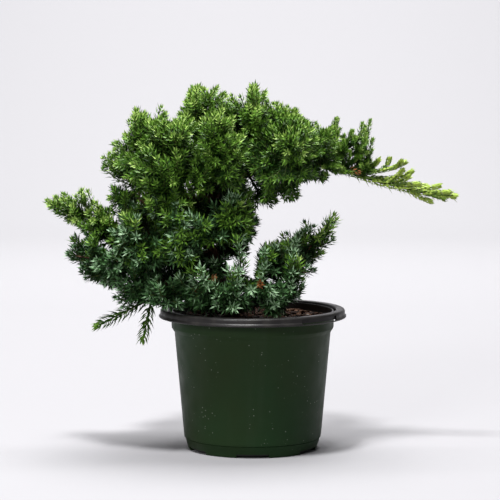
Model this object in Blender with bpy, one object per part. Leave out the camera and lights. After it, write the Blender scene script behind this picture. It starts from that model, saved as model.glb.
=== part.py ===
"""A young garden juniper trained as a bonsai, rooted in its round plastic nursery pot.

Metres, +Z up. The origin is the centre of the pot's flat underside, +X is the side that the long
arching branch points to, and the front of the tree faces -Y. Every limb grows by one rule, and
every mass of foliage by another, from the named sizes below.
"""

import math
import random
from collections import namedtuple

import bmesh
import bpy
import numpy as np
from mathutils import Matrix, Vector
from mathutils.bvhtree import BVHTree

MM = 0.001
GAP = 0.3 * MM
SHARP = math.radians(35)

# Pot: a 6 inch azalea pot with a skirted lip, a collar below it and a notched foot
POT_HEIGHT = 114.3 * MM
POT_SIDES = 36
WALL = 1.0 * MM
FLOOR = 1.5 * MM
FOOT_RADIUS = 52.5 * MM
FOOT_TOP = 9.5 * MM
FOOT_TOP_RADIUS = 54.9 * MM
BODY_FOOT_RADIUS = 56.0 * MM
BODY_FOOT = 12.5 * MM
BODY_TOP_RADIUS = 63.4 * MM
BODY_TOP = 96.0 * MM
COLLAR_RADIUS = 65.8 * MM
COLLAR_FOOT = 99.5 * MM
LIP_RADIUS = 76.2 * MM
LIP_TOP_RADIUS = 75.0 * MM
LIP_FOOT = POT_HEIGHT - 6.8 * MM
LIP_ROUND = 2.0 * MM
LIP_THICKNESS = 1.6 * MM
LIP_ROOT = 2.2 * MM
SKIRT = 2.2 * MM
SKIRT_BEAD = 2.6 * MM
MOUTH_RADIUS = 67.9 * MM
MOUTH_EDGE = 1.2 * MM
FOOT_EDGE = 1.0 * MM
STEP_EDGE = 0.4 * MM
NOTCHES = 6
NOTCH_WIDTH = 26 * MM
NOTCH_HEIGHT = 3.0 * MM
NOTCH_DEPTH = 7 * MM
LABEL_FROM, LABEL_TO = -59, -27
LABEL_STEPS = 4
LABEL_DEPTH = 1.2 * MM
LABEL_FOOT = LIP_FOOT + 0.9 * MM
LABEL_TOP = POT_HEIGHT - 1.9 * MM

# How far a cutter reaches past what it cuts, and how far the foliage keeps from the pot
CUT_PAST = 4 * MM
POT_ROOM = 1 * MM

# Soil: fills the pot to a little below its mouth
SOIL_TOP = POT_HEIGHT - 8 * MM

# Trunk: its line in millimetres from the flat cut on the soil to the tip, and its radii
TRUNK_LINE = [(-14, 6, 0), (-20, 5, 22), (-33, 3, 50), (-41, 2, 80), (-40, 2, 106), (-37, 2, 126)]
TRUNK_FOOT_RADIUS = 7.4 * MM
TRUNK_TIP_RADIUS = 2.3 * MM
TRUNK_SIDES = 12
TRUNK_STEPS = 3
FLARE = 5.5 * MM
FLARE_HEIGHT = 7 * MM
FLARE_LOBES = 5
LOBE_DEPTH = 0.4

# Boughs: the limb each leaves and how far along it, then its tip and upward bow in millimetres, and
# its radii at foot and tip
Bough = namedtuple("Bough", "limb share tip bow foot_radius tip_radius")
BOUGHS = {
    "bough_rim_left": Bough("trunk", 0.07, (-87, -14, 121), -1, 2.4, 1.2),
    "bough_low_left": Bough("trunk", 0.15, (-84, -21, 150), -13, 3.0, 1.5),
    "bough_mid_left": Bough("trunk", 0.40, (-92, -8, 174), 4, 2.8, 1.5),
    "bough_high_left": Bough("trunk", 0.56, (-92, -3, 204), -4, 2.8, 1.6),
    "bough_top": Bough("trunk", 0.80, (-3, -1, 228), 4, 2.6, 1.5),
    "bough_arch": Bough("trunk", 0.69, (28, -3, 229), 8, 3.2, 2.2),
    "bough_reach": Bough("bough_arch", 1.0, (70, -4, 229), 3, 2.0, 1.4),
    "bough_low_right": Bough("trunk", 0.05, (14, -9, 127), -2, 3.0, 1.5),
    "bough_front_left": Bough("trunk", 0.66, (-54, -22, 222), -3, 2.2, 1.3),
    "bough_front_right": Bough("bough_arch", 0.62, (24, -26, 232), 1, 1.7, 1.2),
    "bough_back_left": Bough("trunk", 0.62, (-64, 26, 220), -3, 2.4, 1.3),
    "bough_back_right": Bough("bough_arch", 0.70, (24, 26, 231), 1, 1.7, 1.2),
    "bough_back_low": Bough("trunk", 0.28, (-60, 32, 158), -4, 2.4, 1.3),
}
BOUGH_SIDES = 5
BOUGH_STEPS = 4

# Masses: the limb each stem leaves and how far along it, then the far end of its space, how far that
# space reaches level across and square to that, its side sprays, and how fine its core is, if any
Mass = namedtuple("Mass", "limb share tip wide tall sprays core")
MASSES = {
    "arm_left": Mass("bough_mid_left", 1.0, (-169, -12, 203), 16, 19, 5, 1),
    "mid_left": Mass("bough_mid_left", 0.82, (-116, -10, 218), 18, 18, 4, 1),
    "low_left": Mass("bough_low_left", 1.0, (-153, -24, 161), 19, 25, 5, 1),
    "sprig_left": Mass("bough_rim_left", 1.0, (-128, -20, 101), 12, 12, 5, 0),
    "sprig_hanging": Mass("bough_rim_left", 0.93, (-89, -19, 89), 10, 10, 3, 0),
    "foot_left": Mass("bough_rim_left", 0.62, (-112, -34, 138), 20, 20, 4, 1),
    "foot_front_left": Mass("bough_low_left", 0.62, (-74, -56, 130), 17, 17, 4, 1),
    "foot_back_left": Mass("bough_low_left", 0.5, (-84, 34, 140), 20, 19, 4, 1),
    "front_left": Mass("bough_mid_left", 0.6, (-96, -56, 176), 25, 25, 4, 1),
    "crown_left": Mass("bough_high_left", 1.0, (-78, -5, 285), 36, 30, 4, 2),
    "crown_top_left": Mass("trunk", 1.0, (-44, 0, 301), 28, 28, 3, 2),
    "crown_top": Mass("bough_top", 1.0, (3, 0, 301), 28, 28, 3, 2),
    "crown_right": Mass("bough_arch", 0.9, (38, -6, 283), 30, 27, 3, 2),
    "crown_front_left": Mass("bough_front_left", 1.0, (-62, -68, 258), 29, 27, 3, 2),
    "crown_front_mid": Mass("trunk", 0.88, (-20, -66, 262), 27, 27, 3, 2),
    "crown_front_right": Mass("bough_front_right", 1.0, (30, -64, 256), 27, 25, 3, 2),
    "crown_back_left": Mass("bough_back_left", 1.0, (-74, 74, 254), 34, 31, 4, 2),
    "crown_back_mid": Mass("trunk", 0.86, (-22, 80, 262), 30, 29, 3, 2),
    "crown_back_right": Mass("bough_back_right", 1.0, (34, 70, 254), 28, 25, 3, 2),
    "shoulder_left": Mass("bough_reach", 0.5, (68, -6, 274), 12, 12, 4, 0),
    "shoulder_right": Mass("bough_reach", 0.88, (98, -6, 271), 13, 13, 4, 0),
    "tip_right": Mass("bough_reach", 1.0, (167, -8, 205), 12, 13, 8, 0),
    "hang_right": Mass("bough_arch", 0.84, (34, -12, 201), 19, 14, 4, 1),
    "hang_mid": Mass("bough_arch", 0.55, (14, -8, 191), 15, 13, 3, 1),
    "under_reach": Mass("bough_reach", 0.35, (62, -14, 214), 13, 13, 3, 1),
    "column_high_left": Mass("trunk", 0.64, (-80, -52, 216), 26, 26, 4, 2),
    "column_high_right": Mass("trunk", 0.57, (-2, -46, 194), 27, 27, 4, 2),
    "column_mid_left": Mass("trunk", 0.42, (-64, -58, 168), 27, 25, 4, 2),
    "column_mid_right": Mass("trunk", 0.35, (-12, -52, 166), 26, 25, 4, 2),
    "column_low_left": Mass("trunk", 0.18, (-58, -52, 136), 25, 18, 4, 1),
    "column_low_right": Mass("trunk", 0.13, (-14, -54, 130), 21, 14, 4, 1),
    "low_right": Mass("bough_low_right", 1.0, (69, -14, 192), 18, 20, 5, 1),
    "low_right_mid": Mass("bough_low_right", 0.6, (14, -26, 168), 16, 17, 4, 1),
    "low_right_front": Mass("bough_low_right", 0.8, (42, -50, 130), 22, 16, 4, 1),
    "back_inner_high": Mass("trunk", 0.76, (2, 46, 224), 26, 20, 3, 1),
    "back_inner_low": Mass("trunk", 0.43, (-8, 44, 180), 25, 20, 3, 1),
    "back_high": Mass("trunk", 0.59, (-40, 76, 206), 38, 27, 4, 2),
    "back_low": Mass("trunk", 0.23, (-18, 68, 146), 34, 25, 4, 2),
    "back_left": Mass("bough_back_low", 1.0, (-114, 46, 186), 29, 27, 4, 2),
}

# Stems: their radius at the foot, how much of it is left at the tip, and how far they reach into
# their spaces. A stem is seated on its limb in small steps
STEM_RADIUS = 1.3 * MM
STEM_TAPER = 0.6
STEM_REACH = 0.72
STEM_SIDES = 3
STEM_STEPS = 4
SEAT_STEP = GAP / 10
LEAST_SINE = 0.1

# Cores: how far their corners and their tufts reach, as shares of the space, the sizes that are tried
# in turn, and how far round a spray no tuft stands
CORE_SHARE = 0.5
TUFT_SHARE = (0.8, 1.0)
CORE_SIZES = (1, 0.8, 0.6, 0.4)
CORE_ROOM = 3 * GAP
LEAST_CORE = 4 * GAP
DRAW_IN = 0.9
SPRAY_ROOM = math.cos(math.radians(36))

# Spaces: how level an axis has to be to set the others, and how wide the border between two is
STEEP = 0.35
BORDER = 0.06

# Twigs: where the leader starts on the stem, its whorls and theirs, and how far they spread from the
# stem in degrees, in a dense mass with a core and in an open one. They spread less towards the tip
Habit = namedtuple("Habit", "leader_from leader_whorls whorls spread")
DENSE = Habit(0.8, 2, 1, 90)
OPEN = Habit(0.12, 12, 3, 60)
SPREAD_LOSS = 35
SWAY = 6
FIRST_TWIG = 0.12
GOLDEN = math.radians(137.5)
GOLDEN_SHARE = 0.618
OUTWARD_BEND = 0.035
UPWARD_BEND = 0.015
SHORTEST_TWIG = 5 * MM
APART = 10 * MM
TRIES = 12

# Sprays: slim cores that whorls of three needles stand out of, larger than life. A needle is at most
# half as long as its space reaches from its middle, and shorter ones are tried where it doesn't fit
SPRAY_STEP = 6 * MM
STEPS_A_WHORL = 4
SPRAY_RADIUS = 1.1 * MM
SPRAY_SIDES = 6
NEEDLE = 10 * MM
NEEDLE_LEAN = 50
NEEDLE_REACH = 0.5
NEEDLE_SIZES = (1, 0.75, 0.5)
NEEDLE_ROOM = 2 * GAP

# Materials: colour and roughness
Finish = namedtuple("Finish", "colour roughness")
FINISHES = {
    "pot_plastic": Finish((0.018, 0.045, 0.022, 1), 0.4),
    "soil": Finish((0.045, 0.026, 0.017, 1), 0.95),
    "bark": Finish((0.16, 0.085, 0.05, 1), 0.85),
    "foliage": Finish((0.05, 0.16, 0.035, 1), 0.6),
}


def mm(point):
    """A point given in millimetres."""
    return Vector(point) * MM


def clear_scene():
    for obj in list(bpy.data.objects):
        bpy.data.objects.remove(obj)


def material(name):
    made = bpy.data.materials.new(name)
    made.use_nodes = True
    shader = made.node_tree.nodes["Principled BSDF"]
    shader.inputs["Base Color"].default_value = FINISHES[name].colour
    shader.inputs["Roughness"].default_value = FINISHES[name].roughness
    made.diffuse_color = FINISHES[name].colour
    return made


def add_object(name, bm, made_of, smooth=False):
    mesh = bpy.data.meshes.new(name)
    bm.to_mesh(mesh)
    bm.free()
    if smooth:
        mesh.shade_smooth()
        mesh.set_sharp_from_angle(angle=SHARP)
    mesh.materials.append(made_of)
    obj = bpy.data.objects.new(name, mesh)
    bpy.context.scene.collection.objects.link(obj)
    return obj


def add_cutter(name, bm, target):
    """A hidden tool that a Boolean takes away from the target."""
    cutter = add_object(name, bm, target.data.materials[0])
    cutter.hide_render = True
    cutter.display_type = "WIRE"
    cut = target.modifiers.new(name, "BOOLEAN")
    cut.operation = "DIFFERENCE"
    cut.object = cutter


def lathe(profile, sides):
    """A solid of revolution about Z. The profile of (radius, height) starts and ends on the axis."""
    bm = bmesh.new()
    rings = []
    for radius, height in profile:
        count = sides if radius > 0 else 1
        turns = [2 * math.pi * i / sides for i in range(count)]
        rings.append([bm.verts.new((radius * math.cos(t), radius * math.sin(t), height)) for t in turns])
    for low, high in zip(rings, rings[1:]):
        join_rings(bm, low, high, sides)
    return bm


def join_rings(bm, low, high, sides):
    """Faces between two rings of points, either of which may be a single point."""
    for i in range(sides):
        j = (i + 1) % sides
        corners = [low[i % len(low)], low[j % len(low)], high[j % len(high)], high[i % len(high)]]
        bm.faces.new(list(dict.fromkeys(corners)))


def ring_sector(inner, outer, low, high, start, end, steps):
    """A block bent round the Z axis between two radii, two heights and two angles in degrees."""
    bm = bmesh.new()
    sections = []
    for i in range(steps + 1):
        turn = math.radians(start + (end - start) * i / steps)
        corners = [(inner, low), (outer, low), (outer, high), (inner, high)]
        sections.append([bm.verts.new((r * math.cos(turn), r * math.sin(turn), z)) for r, z in corners])
    for one, two in zip(sections, sections[1:]):
        join_rings(bm, one, two, 4)
    bm.faces.new(sections[0])
    bm.faces.new(reversed(sections[-1]))
    bmesh.ops.recalc_face_normals(bm, faces=bm.faces)
    return bm


def inner_radius(height):
    """The radius of the pot's inner wall at a height."""
    heights = [FLOOR, BODY_FOOT, BODY_TOP, COLLAR_FOOT, LIP_FOOT, POT_HEIGHT]
    outer = [FOOT_RADIUS, BODY_FOOT_RADIUS, BODY_TOP_RADIUS, COLLAR_RADIUS, COLLAR_RADIUS]
    return float(np.interp(height, heights, [*outer, MOUTH_RADIUS + WALL])) - WALL


def pot_profile():
    """The pot's section: foot, body, collar, hollow lip and its skirt, then down the inner wall."""
    outside = [
        (0, 0),
        (FOOT_RADIUS - FOOT_EDGE, 0),
        (FOOT_RADIUS, FOOT_EDGE),
        (FOOT_TOP_RADIUS, FOOT_TOP),
        (BODY_FOOT_RADIUS - STEP_EDGE, FOOT_TOP + STEP_EDGE),
        (BODY_FOOT_RADIUS, BODY_FOOT),
        (BODY_TOP_RADIUS, BODY_TOP),
        (COLLAR_RADIUS, COLLAR_FOOT),
        (COLLAR_RADIUS + STEP_EDGE, LIP_FOOT),
    ]
    under_lip = POT_HEIGHT - LIP_THICKNESS
    lip = [
        (COLLAR_RADIUS + LIP_ROOT, under_lip),
        (LIP_TOP_RADIUS - SKIRT, under_lip),
        (LIP_RADIUS - SKIRT, LIP_FOOT),
        (LIP_RADIUS, LIP_FOOT),
        (LIP_TOP_RADIUS, LIP_FOOT + SKIRT_BEAD),
        (LIP_TOP_RADIUS, POT_HEIGHT - LIP_ROUND),
        (LIP_TOP_RADIUS - LIP_ROUND, POT_HEIGHT),
        (MOUTH_RADIUS + MOUTH_EDGE, POT_HEIGHT),
        (MOUTH_RADIUS, POT_HEIGHT - MOUTH_EDGE),
    ]
    inside = [(inner_radius(z), z) for z in (LIP_FOOT, COLLAR_FOOT, BODY_TOP, BODY_FOOT, FLOOR)]
    return outside + lip + inside + [(0, FLOOR)]


def make_pot(made_of):
    pot = add_object("pot", lathe(pot_profile(), POT_SIDES), made_of, smooth=True)
    notches = bmesh.new()
    for i in range(NOTCHES):
        turn = 2 * math.pi * (i + 0.5) / NOTCHES
        reach = FOOT_RADIUS + (CUT_PAST - NOTCH_DEPTH) / 2
        size = Matrix.Diagonal((NOTCH_DEPTH + CUT_PAST, NOTCH_WIDTH, 2 * NOTCH_HEIGHT, 1))
        place = Matrix.Rotation(turn, 4, "Z") @ Matrix.Translation((reach, 0, 0)) @ size
        bmesh.ops.create_cube(notches, size=1, matrix=place)
    add_cutter("foot_notch_cutter", notches, pot)
    inner, outer = LIP_TOP_RADIUS - LABEL_DEPTH, LIP_RADIUS + CUT_PAST
    panel = ring_sector(inner, outer, LABEL_FOOT, LABEL_TOP, LABEL_FROM, LABEL_TO, LABEL_STEPS)
    add_cutter("label_recess_cutter", panel, pot)


def make_soil(made_of):
    """Soil that fills the pot, a gap inside its wall and over its floor."""
    sides = [(inner_radius(z) - GAP, z) for z in (BODY_TOP, SOIL_TOP)]
    foot = (inner_radius(FLOOR) - GAP, FLOOR + GAP)
    add_object("soil", lathe([(0, foot[1]), foot, *sides, (0, SOIL_TOP)], POT_SIDES), made_of)


def smooth_line(points, steps):
    """Points along a Catmull-Rom curve through the given ones."""
    ends = [2 * points[0] - points[1], *points, 2 * points[-1] - points[-2]]
    line = []
    for a, b, c, d in zip(ends, ends[1:], ends[2:], ends[3:]):
        bend, twist = 2 * a - 5 * b + 4 * c - d, 3 * b - a - 3 * c + d
        for t in [i / steps for i in range(steps)]:
            line.append(0.5 * (2 * b + (c - a) * t + bend * t**2 + twist * t**3))
    return line + [points[-1]]


def along(line, share):
    """The point at a share of a line's number of points."""
    place = share * (len(line) - 1)
    i = min(int(place), len(line) - 2)
    return line[i].lerp(line[i + 1], place - i)


def directions(line):
    """The direction of a line at each of its points."""
    spans = [b - a for a, b in zip(line, line[1:])]
    turns = [a + b for a, b in zip([spans[0], *spans], [*spans, spans[-1]])]
    return [turn.normalized() for turn in turns]


def side_axes(line):
    """Two axes square to the line at each point, carried along it without twisting."""
    found = []
    side = directions(line)[0].orthogonal().normalized()
    for way in directions(line):
        side = (side - way * side.dot(way)).normalized()
        found.append((side, way.cross(side)))
    return found


def tube(line, radii, sides, level_foot=False, lobe=lambda share, turn: 0):
    """A closed tapering tube. With level_foot its first ring is a level cut. lobe adds to the radius."""
    bm = bmesh.new()
    rings = []
    axes = side_axes(line)
    for i, (centre, radius) in enumerate(zip(line, radii)):
        across, up = axes[i]
        if level_foot and i == 0:
            across, up = Vector((1, 0, 0)), Vector((0, 1, 0))
        ring = []
        for k in range(sides):
            turn = 2 * math.pi * k / sides
            reach = radius + lobe(i / (len(line) - 1), turn)
            ring.append(bm.verts.new(centre + reach * (math.cos(turn) * across + math.sin(turn) * up)))
        rings.append(ring)
    for low, high in zip(rings, rings[1:]):
        join_rings(bm, low, high, sides)
    bm.faces.new(rings[0])
    bm.faces.new(rings[-1])
    bmesh.ops.recalc_face_normals(bm, faces=bm.faces)
    return bm


class Limb:
    """The line and radii of a trunk, bough or stem."""

    def __init__(self, line, foot_radius, tip_radius):
        self.line = line
        taper = (tip_radius - foot_radius) / (len(line) - 1)
        self.radii = [foot_radius + taper * i for i in range(len(line))]

    def radius(self, share):
        return self.radii[0] + (self.radii[-1] - self.radii[0]) * share

    def clearance(self, point):
        """How far a point is outside this limb's surface."""
        nearest = math.inf
        for a, b, radius in zip(self.line, self.line[1:], self.radii):
            span = b - a
            share = min(1, max(0, (point - a).dot(span) / span.length_squared))
            nearest = min(nearest, (point - a - span * share).length - radius)
        return nearest

    def way(self, share):
        """The limb's direction at a share of its length."""
        return along(directions(self.line), share).normalized()


def trunk_limb():
    foot = Vector((0, 0, SOIL_TOP + GAP))
    points = [mm(p) + foot for p in TRUNK_LINE]
    return Limb(smooth_line(points, TRUNK_STEPS), TRUNK_FOOT_RADIUS, TRUNK_TIP_RADIUS)


def limb_mesh(name, limb, extra=0):
    """The trunk, with the lobes of its root flare, or a bough, made thicker by extra."""
    if name != "trunk":
        return tube(limb.line, [radius + extra for radius in limb.radii], BOUGH_SIDES)
    height = limb.line[-1].z - limb.line[0].z

    def flare(share, turn):
        fade = math.exp(-share * height / FLARE_HEIGHT)
        return FLARE * fade * (1 - LOBE_DEPTH * (1 - math.cos(FLARE_LOBES * turn))) + extra

    return tube(limb.line, limb.radii, TRUNK_SIDES, level_foot=True, lobe=flare)


def bough_limb(name, limbs):
    """A bough's line: from its parent's axis, or from just past its parent's tip, bowed to its own tip."""
    bough = BOUGHS[name]
    parent = limbs[bough.limb]
    foot = along(parent.line, bough.share)
    tip = mm(bough.tip)
    middle = (foot + tip) / 2 + Vector((0, 0, bough.bow * MM))
    if bough.share == 1:
        way = (middle - foot).normalized()
        foot += way * past_tip(parent.way(1), way, bough.foot_radius * MM)
    line = smooth_line([foot, middle, tip], BOUGH_STEPS)
    return Limb(line, bough.foot_radius * MM, bough.tip_radius * MM)


def past_tip(parent_way, way, radius):
    """How far past a limb's end cap the next tube starts, for the two caps to be a gap apart."""
    lean = parent_way.dot(way)
    return (GAP + radius * math.sqrt(max(1 - lean**2, 0))) / lean


def make_bough(name, limbs, made_of):
    """A tapering tube with its foot cut to fit round its parent, 0.3 mm clear."""
    bough = add_object(name, limb_mesh(name, limbs[name]), made_of, smooth=True)
    if BOUGHS[name].share == 1:
        return
    parent = BOUGHS[name].limb
    cutter = add_object("cutter", limb_mesh(parent, limbs[parent], GAP), made_of)
    cut = bough.modifiers.new("foot", "BOOLEAN")
    cut.operation = "DIFFERENCE"
    cut.object = cutter
    apply_modifiers(bough)
    bpy.data.objects.remove(cutter)


def apply_modifiers(obj):
    bpy.context.view_layer.update()
    graph = bpy.context.evaluated_depsgraph_get()
    made = bpy.data.meshes.new_from_object(obj.evaluated_get(graph))
    obj.modifiers.clear()
    obj.data = made


class Space:
    """The egg-shaped space that a mass keeps to, from the foot of its stem to its far end."""

    def __init__(self, foot, tip, wide, tall):
        self.foot, self.tip = foot, tip
        self.centre = (foot + tip) / 2
        long_axis = (tip - foot).normalized()
        level = long_axis.cross(Vector((0, 0, 1)))
        if level.length < STEEP:
            level = Vector((1, 0, 0)) - long_axis * long_axis.x
        level.normalize()
        self.axes = (long_axis, level, long_axis.cross(level))
        self.reach = ((tip - foot).length / 2, wide, tall)

    def depth(self, point):
        """0 at the centre of the space, and 1 at its edge."""
        offset = point - self.centre
        return sum((offset.dot(axis) / reach) ** 2 for axis, reach in zip(self.axes, self.reach))

    def turned(self, point):
        """The direction of a point from the centre, with the space taken as a ball of radius 1."""
        offset = point - self.centre
        return Vector([offset.dot(axis) / reach for axis, reach in zip(self.axes, self.reach)]).normalized()


def mass_space(name, limbs, surfaces):
    """The space of a mass, with the foot of its stem 0.3 mm clear of the limb that carries it."""
    mass = MASSES[name]
    limb = limbs[mass.limb]
    tip = mm(mass.tip)
    end = along(limb.line, mass.share)
    way = (tip - end).normalized()
    lean = way.dot(limb.way(mass.share))
    square = math.sqrt(max(1 - lean**2, LEAST_SINE**2))
    clear = (limb.radius(mass.share) + GAP + STEM_RADIUS * abs(lean)) / square
    if mass.share == 1 and lean > 0:
        clear = min(clear, past_tip(limb.way(1), way, STEM_RADIUS))
    foot = seated(surfaces[mass.limb], end + way * clear, way)
    return Space(foot, tip, mass.wide * MM, mass.tall * MM)


def seated(surface, foot, way):
    """The foot of a stem, drawn in along its line until its rim is a gap from a limb's surface."""
    across, up = side_axes([foot, foot + way])[0]
    turns = [2 * math.pi * k / STEM_SIDES for k in range(STEM_SIDES)]
    corners = [STEM_RADIUS * (math.cos(turn) * across + math.sin(turn) * up) for turn in turns]
    middles = [(a + b) / 2 for a, b in zip(corners, corners[1:] + corners[:1])]
    while min(surface.find_nearest(foot + place)[3] for place in corners + middles) > GAP:
        foot = foot - way * SEAT_STEP
    return foot


def in_pot(point):
    """Whether a point is in the pot or its soil, or nearly touches them."""
    radius = math.hypot(point.x, point.y)
    if point.z > POT_HEIGHT + POT_ROOM or radius > LIP_RADIUS + POT_ROOM:
        return point.z < POT_ROOM
    return radius > inner_radius(min(point.z, POT_HEIGHT)) - POT_ROOM or point.z < SOIL_TOP + POT_ROOM


def spray_mesh(line, needle, radius, keeps):
    """A slim core with a whorl of three needles at each point of its line after the first.

    Every second point of a ring is a needle's tip. keeps says whether a tip may stand where it would,
    and one that may not stays on the core.
    """
    bm = bmesh.new()
    rings = []
    axes = side_axes(line)
    ways = directions(line)
    lean = math.radians(NEEDLE_LEAN)
    for i, centre in enumerate(line):
        across, up = axes[i]
        ring = []
        for k in range(SPRAY_SIDES):
            turn = 2 * math.pi * k / SPRAY_SIDES
            out = math.cos(turn) * across + math.sin(turn) * up
            place = centre + out * radius
            tip = place + (out * math.sin(lean) + ways[i] * math.cos(lean)) * needle
            if i > 0 and (i + k) % 2 == 0 and keeps(tip) and keeps((tip + place) / 2):
                place = tip
            ring.append(bm.verts.new(place))
        rings.append(ring)
    for low, high in zip(rings, rings[1:]):
        join_rings(bm, low, high, SPRAY_SIDES)
    bm.faces.new(reversed(rings[0]))
    end = bm.verts.new(line[-1] + ways[-1] * needle)
    join_rings(bm, rings[-1], [end], SPRAY_SIDES)
    bmesh.ops.triangulate(bm, faces=bm.faces)
    bmesh.ops.recalc_face_normals(bm, faces=bm.faces)
    return bm


class Crown:
    """Grows the masses, each in its own space, clear of the pot, the limbs and each other."""

    def __init__(self, limbs, made_of):
        self.made_of = made_of
        self.limbs = limbs
        surfaces = {name: BVHTree.FromBMesh(limb_mesh(name, limb)) for name, limb in limbs.items()}
        self.spaces = {name: mass_space(name, limbs, surfaces) for name in MASSES}
        self.stems = {name: self.stem(space) for name, space in self.spaces.items()}
        self.parts = {name: [] for name in MASSES}
        self.tips = {name: [] for name in MASSES}
        self.placed = []
        for limb in limbs.values():
            self.mark("", limb)
        for name, stem in self.stems.items():
            self.mark(name, stem)

    def stem(self, space):
        shares = [STEM_REACH * i / STEM_STEPS for i in range(STEM_STEPS + 1)]
        line = [space.foot.lerp(space.tip, share) for share in shares]
        return Limb(line, STEM_RADIUS, STEM_RADIUS * STEM_TAPER)

    def mark(self, name, limb):
        """Notes a limb or stem, a gap thicker, so that no other mass crosses it."""
        wider = tube(limb.line, [r + GAP for r in limb.radii], SPRAY_SIDES)
        self.placed.append((name, BVHTree.FromBMesh(wider)))
        wider.free()

    def is_free(self, name, point, room):
        """Whether mass name may fill a point that needs some room round it."""
        if in_pot(point):
            return False
        depth = self.spaces[name].depth(point)
        if depth > 1:
            return False
        for other, space in self.spaces.items():
            if other != name and space.depth(point) < depth + BORDER:
                return False
        if any(limb.clearance(point) < room for limb in self.limbs.values()):
            return False
        return all(stem.clearance(point) > room for other, stem in self.stems.items() if other != name)

    def fits(self, name, bm):
        """Whether a solid crosses nothing that belongs to another mass or to a limb."""
        tree = BVHTree.FromBMesh(bm)
        return not any(owner != name and tree.overlap(other) for owner, other in self.placed)

    def keep(self, name, bm):
        self.placed.append((name, BVHTree.FromBMesh(bm)))
        self.parts[name].append(add_object(f"{name}_part", bm, self.made_of))

    def core(self, name, chance):
        """A small heart for a dense mass, whose faces rise to tufts between its sprays.

        Corners and tufts are drawn in until they are clear of the limbs and the other masses.
        """
        space = self.spaces[name]
        sprays = [space.turned(tip) for tip in self.tips[name]]

        def reach(way, share):
            offset = sum((a * x * r for a, x, r in zip(space.axes, way, space.reach)), Vector()) * share
            while offset.length > LEAST_CORE and not self.is_free(name, space.centre + offset, CORE_ROOM):
                offset *= DRAW_IN
            return space.centre + offset

        for share in CORE_SIZES:
            bm = bmesh.new()
            bmesh.ops.create_icosphere(bm, subdivisions=MASSES[name].core, radius=1)
            corners = list(bm.verts)
            open_faces = []
            for face in bm.faces:
                way = face.calc_center_median().normalized()
                if all(way.dot(spray) < SPRAY_ROOM for spray in sprays):
                    open_faces.append(face)
            tufts = bmesh.ops.poke(bm, faces=open_faces)["verts"]
            for vert in corners:
                vert.co = reach(vert.co.normalized(), share * CORE_SHARE)
            for vert in tufts:
                vert.co = reach(vert.co.normalized(), share * chance.uniform(*TUFT_SHARE))
            if self.fits(name, bm):
                self.keep(name, bm)
                return
            bm.free()

    def twig_line(self, name, foot, way, whorls, bend=1):
        """From the stem outwards, bending up and out, as far as the space allows.

        The points are the foot and then the places of up to so many whorls, the last at the end.
        """
        space = self.spaces[name]
        path = [foot]
        while True:
            outward = (path[-1] - space.centre).normalized()
            way = (way + bend * (OUTWARD_BEND * outward + Vector((0, 0, UPWARD_BEND)))).normalized()
            step = path[-1] + way * SPRAY_STEP / STEPS_A_WHORL
            ahead = step + way * self.needle(name)
            if not all(self.is_free(name, place, SPRAY_RADIUS + GAP) for place in (step, ahead)):
                break
            path.append(step)
        ends = [len(path) - 1 - STEPS_A_WHORL * i for i in range(whorls)]
        return [foot, *[path[end] for end in reversed(ends) if end > 1]]

    def needle(self, name):
        return min(NEEDLE, NEEDLE_REACH * min(self.spaces[name].reach))

    def spray(self, name, line):
        """A twig's solid, with shorter needles where long ones don't fit. True if it was kept."""

        def keeps(point):
            return self.is_free(name, point, NEEDLE_ROOM)

        for share in NEEDLE_SIZES:
            needle = self.needle(name) * share
            trial = spray_mesh(line, needle + GAP, SPRAY_RADIUS + GAP, keeps)
            free = self.fits(name, trial)
            trial.free()
            if free:
                self.keep(name, spray_mesh(line, needle, SPRAY_RADIUS, keeps))
                return True
        return False

    def sprays(self, name, chance):
        """A leader along the stem, then twigs round it, each one golden turn on from the last."""
        stem = self.stems[name]
        habit = DENSE if MASSES[name].core else OPEN
        axis, level, square = self.spaces[name].axes
        leader = self.twig_line(name, along(stem.line, habit.leader_from), axis, habit.leader_whorls, bend=0)
        tips = self.tips[name]
        if len(leader) > 1 and self.spray(name, leader):
            tips.append(leader[-1])
        turn = chance.uniform(0, 2 * math.pi)
        for i in range(TRIES * MASSES[name].sprays):
            if len(tips) > MASSES[name].sprays:
                break
            turn += GOLDEN
            share = FIRST_TWIG + (1 - FIRST_TWIG) * ((i + 1) * GOLDEN_SHARE % 1)
            spread = math.radians(habit.spread - SPREAD_LOSS * share + chance.uniform(-SWAY, SWAY))
            radial = math.cos(turn) * level + math.sin(turn) * square
            way = axis * math.cos(spread) + radial * math.sin(spread)
            line = self.twig_line(name, along(stem.line, share), way, habit.whorls)
            if len(line) < 2 or (line[-1] - line[0]).length < SHORTEST_TWIG:
                continue
            if any((line[-1] - tip).length < APART for tip in tips):
                continue
            if self.spray(name, line):
                tips.append(line[-1])

    def grow(self):
        chances = {name: random.Random(seed) for seed, name in enumerate(MASSES)}
        for name, chance in chances.items():
            self.sprays(name, chance)
        for name, chance in chances.items():
            if MASSES[name].core:
                self.core(name, chance)
        for name, stem in self.stems.items():
            fuse(add_object(name, tube(stem.line, stem.radii, STEM_SIDES), self.made_of), self.parts[name])


def fuse(obj, parts):
    """Joins the sprays and the core of one mass to its stem by a single Boolean union."""
    group = bpy.data.collections.new("parts")
    for part in parts:
        bpy.context.scene.collection.objects.unlink(part)
        group.objects.link(part)
    bpy.context.scene.collection.children.link(group)
    union = obj.modifiers.new("union", "BOOLEAN")
    union.operation = "UNION"
    union.operand_type = "COLLECTION"
    union.collection = group
    union.solver = "MANIFOLD"
    apply_modifiers(obj)
    for part in parts:
        bpy.data.objects.remove(part)
    bpy.data.collections.remove(group)
    keep_outer_skin(obj)


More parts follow.
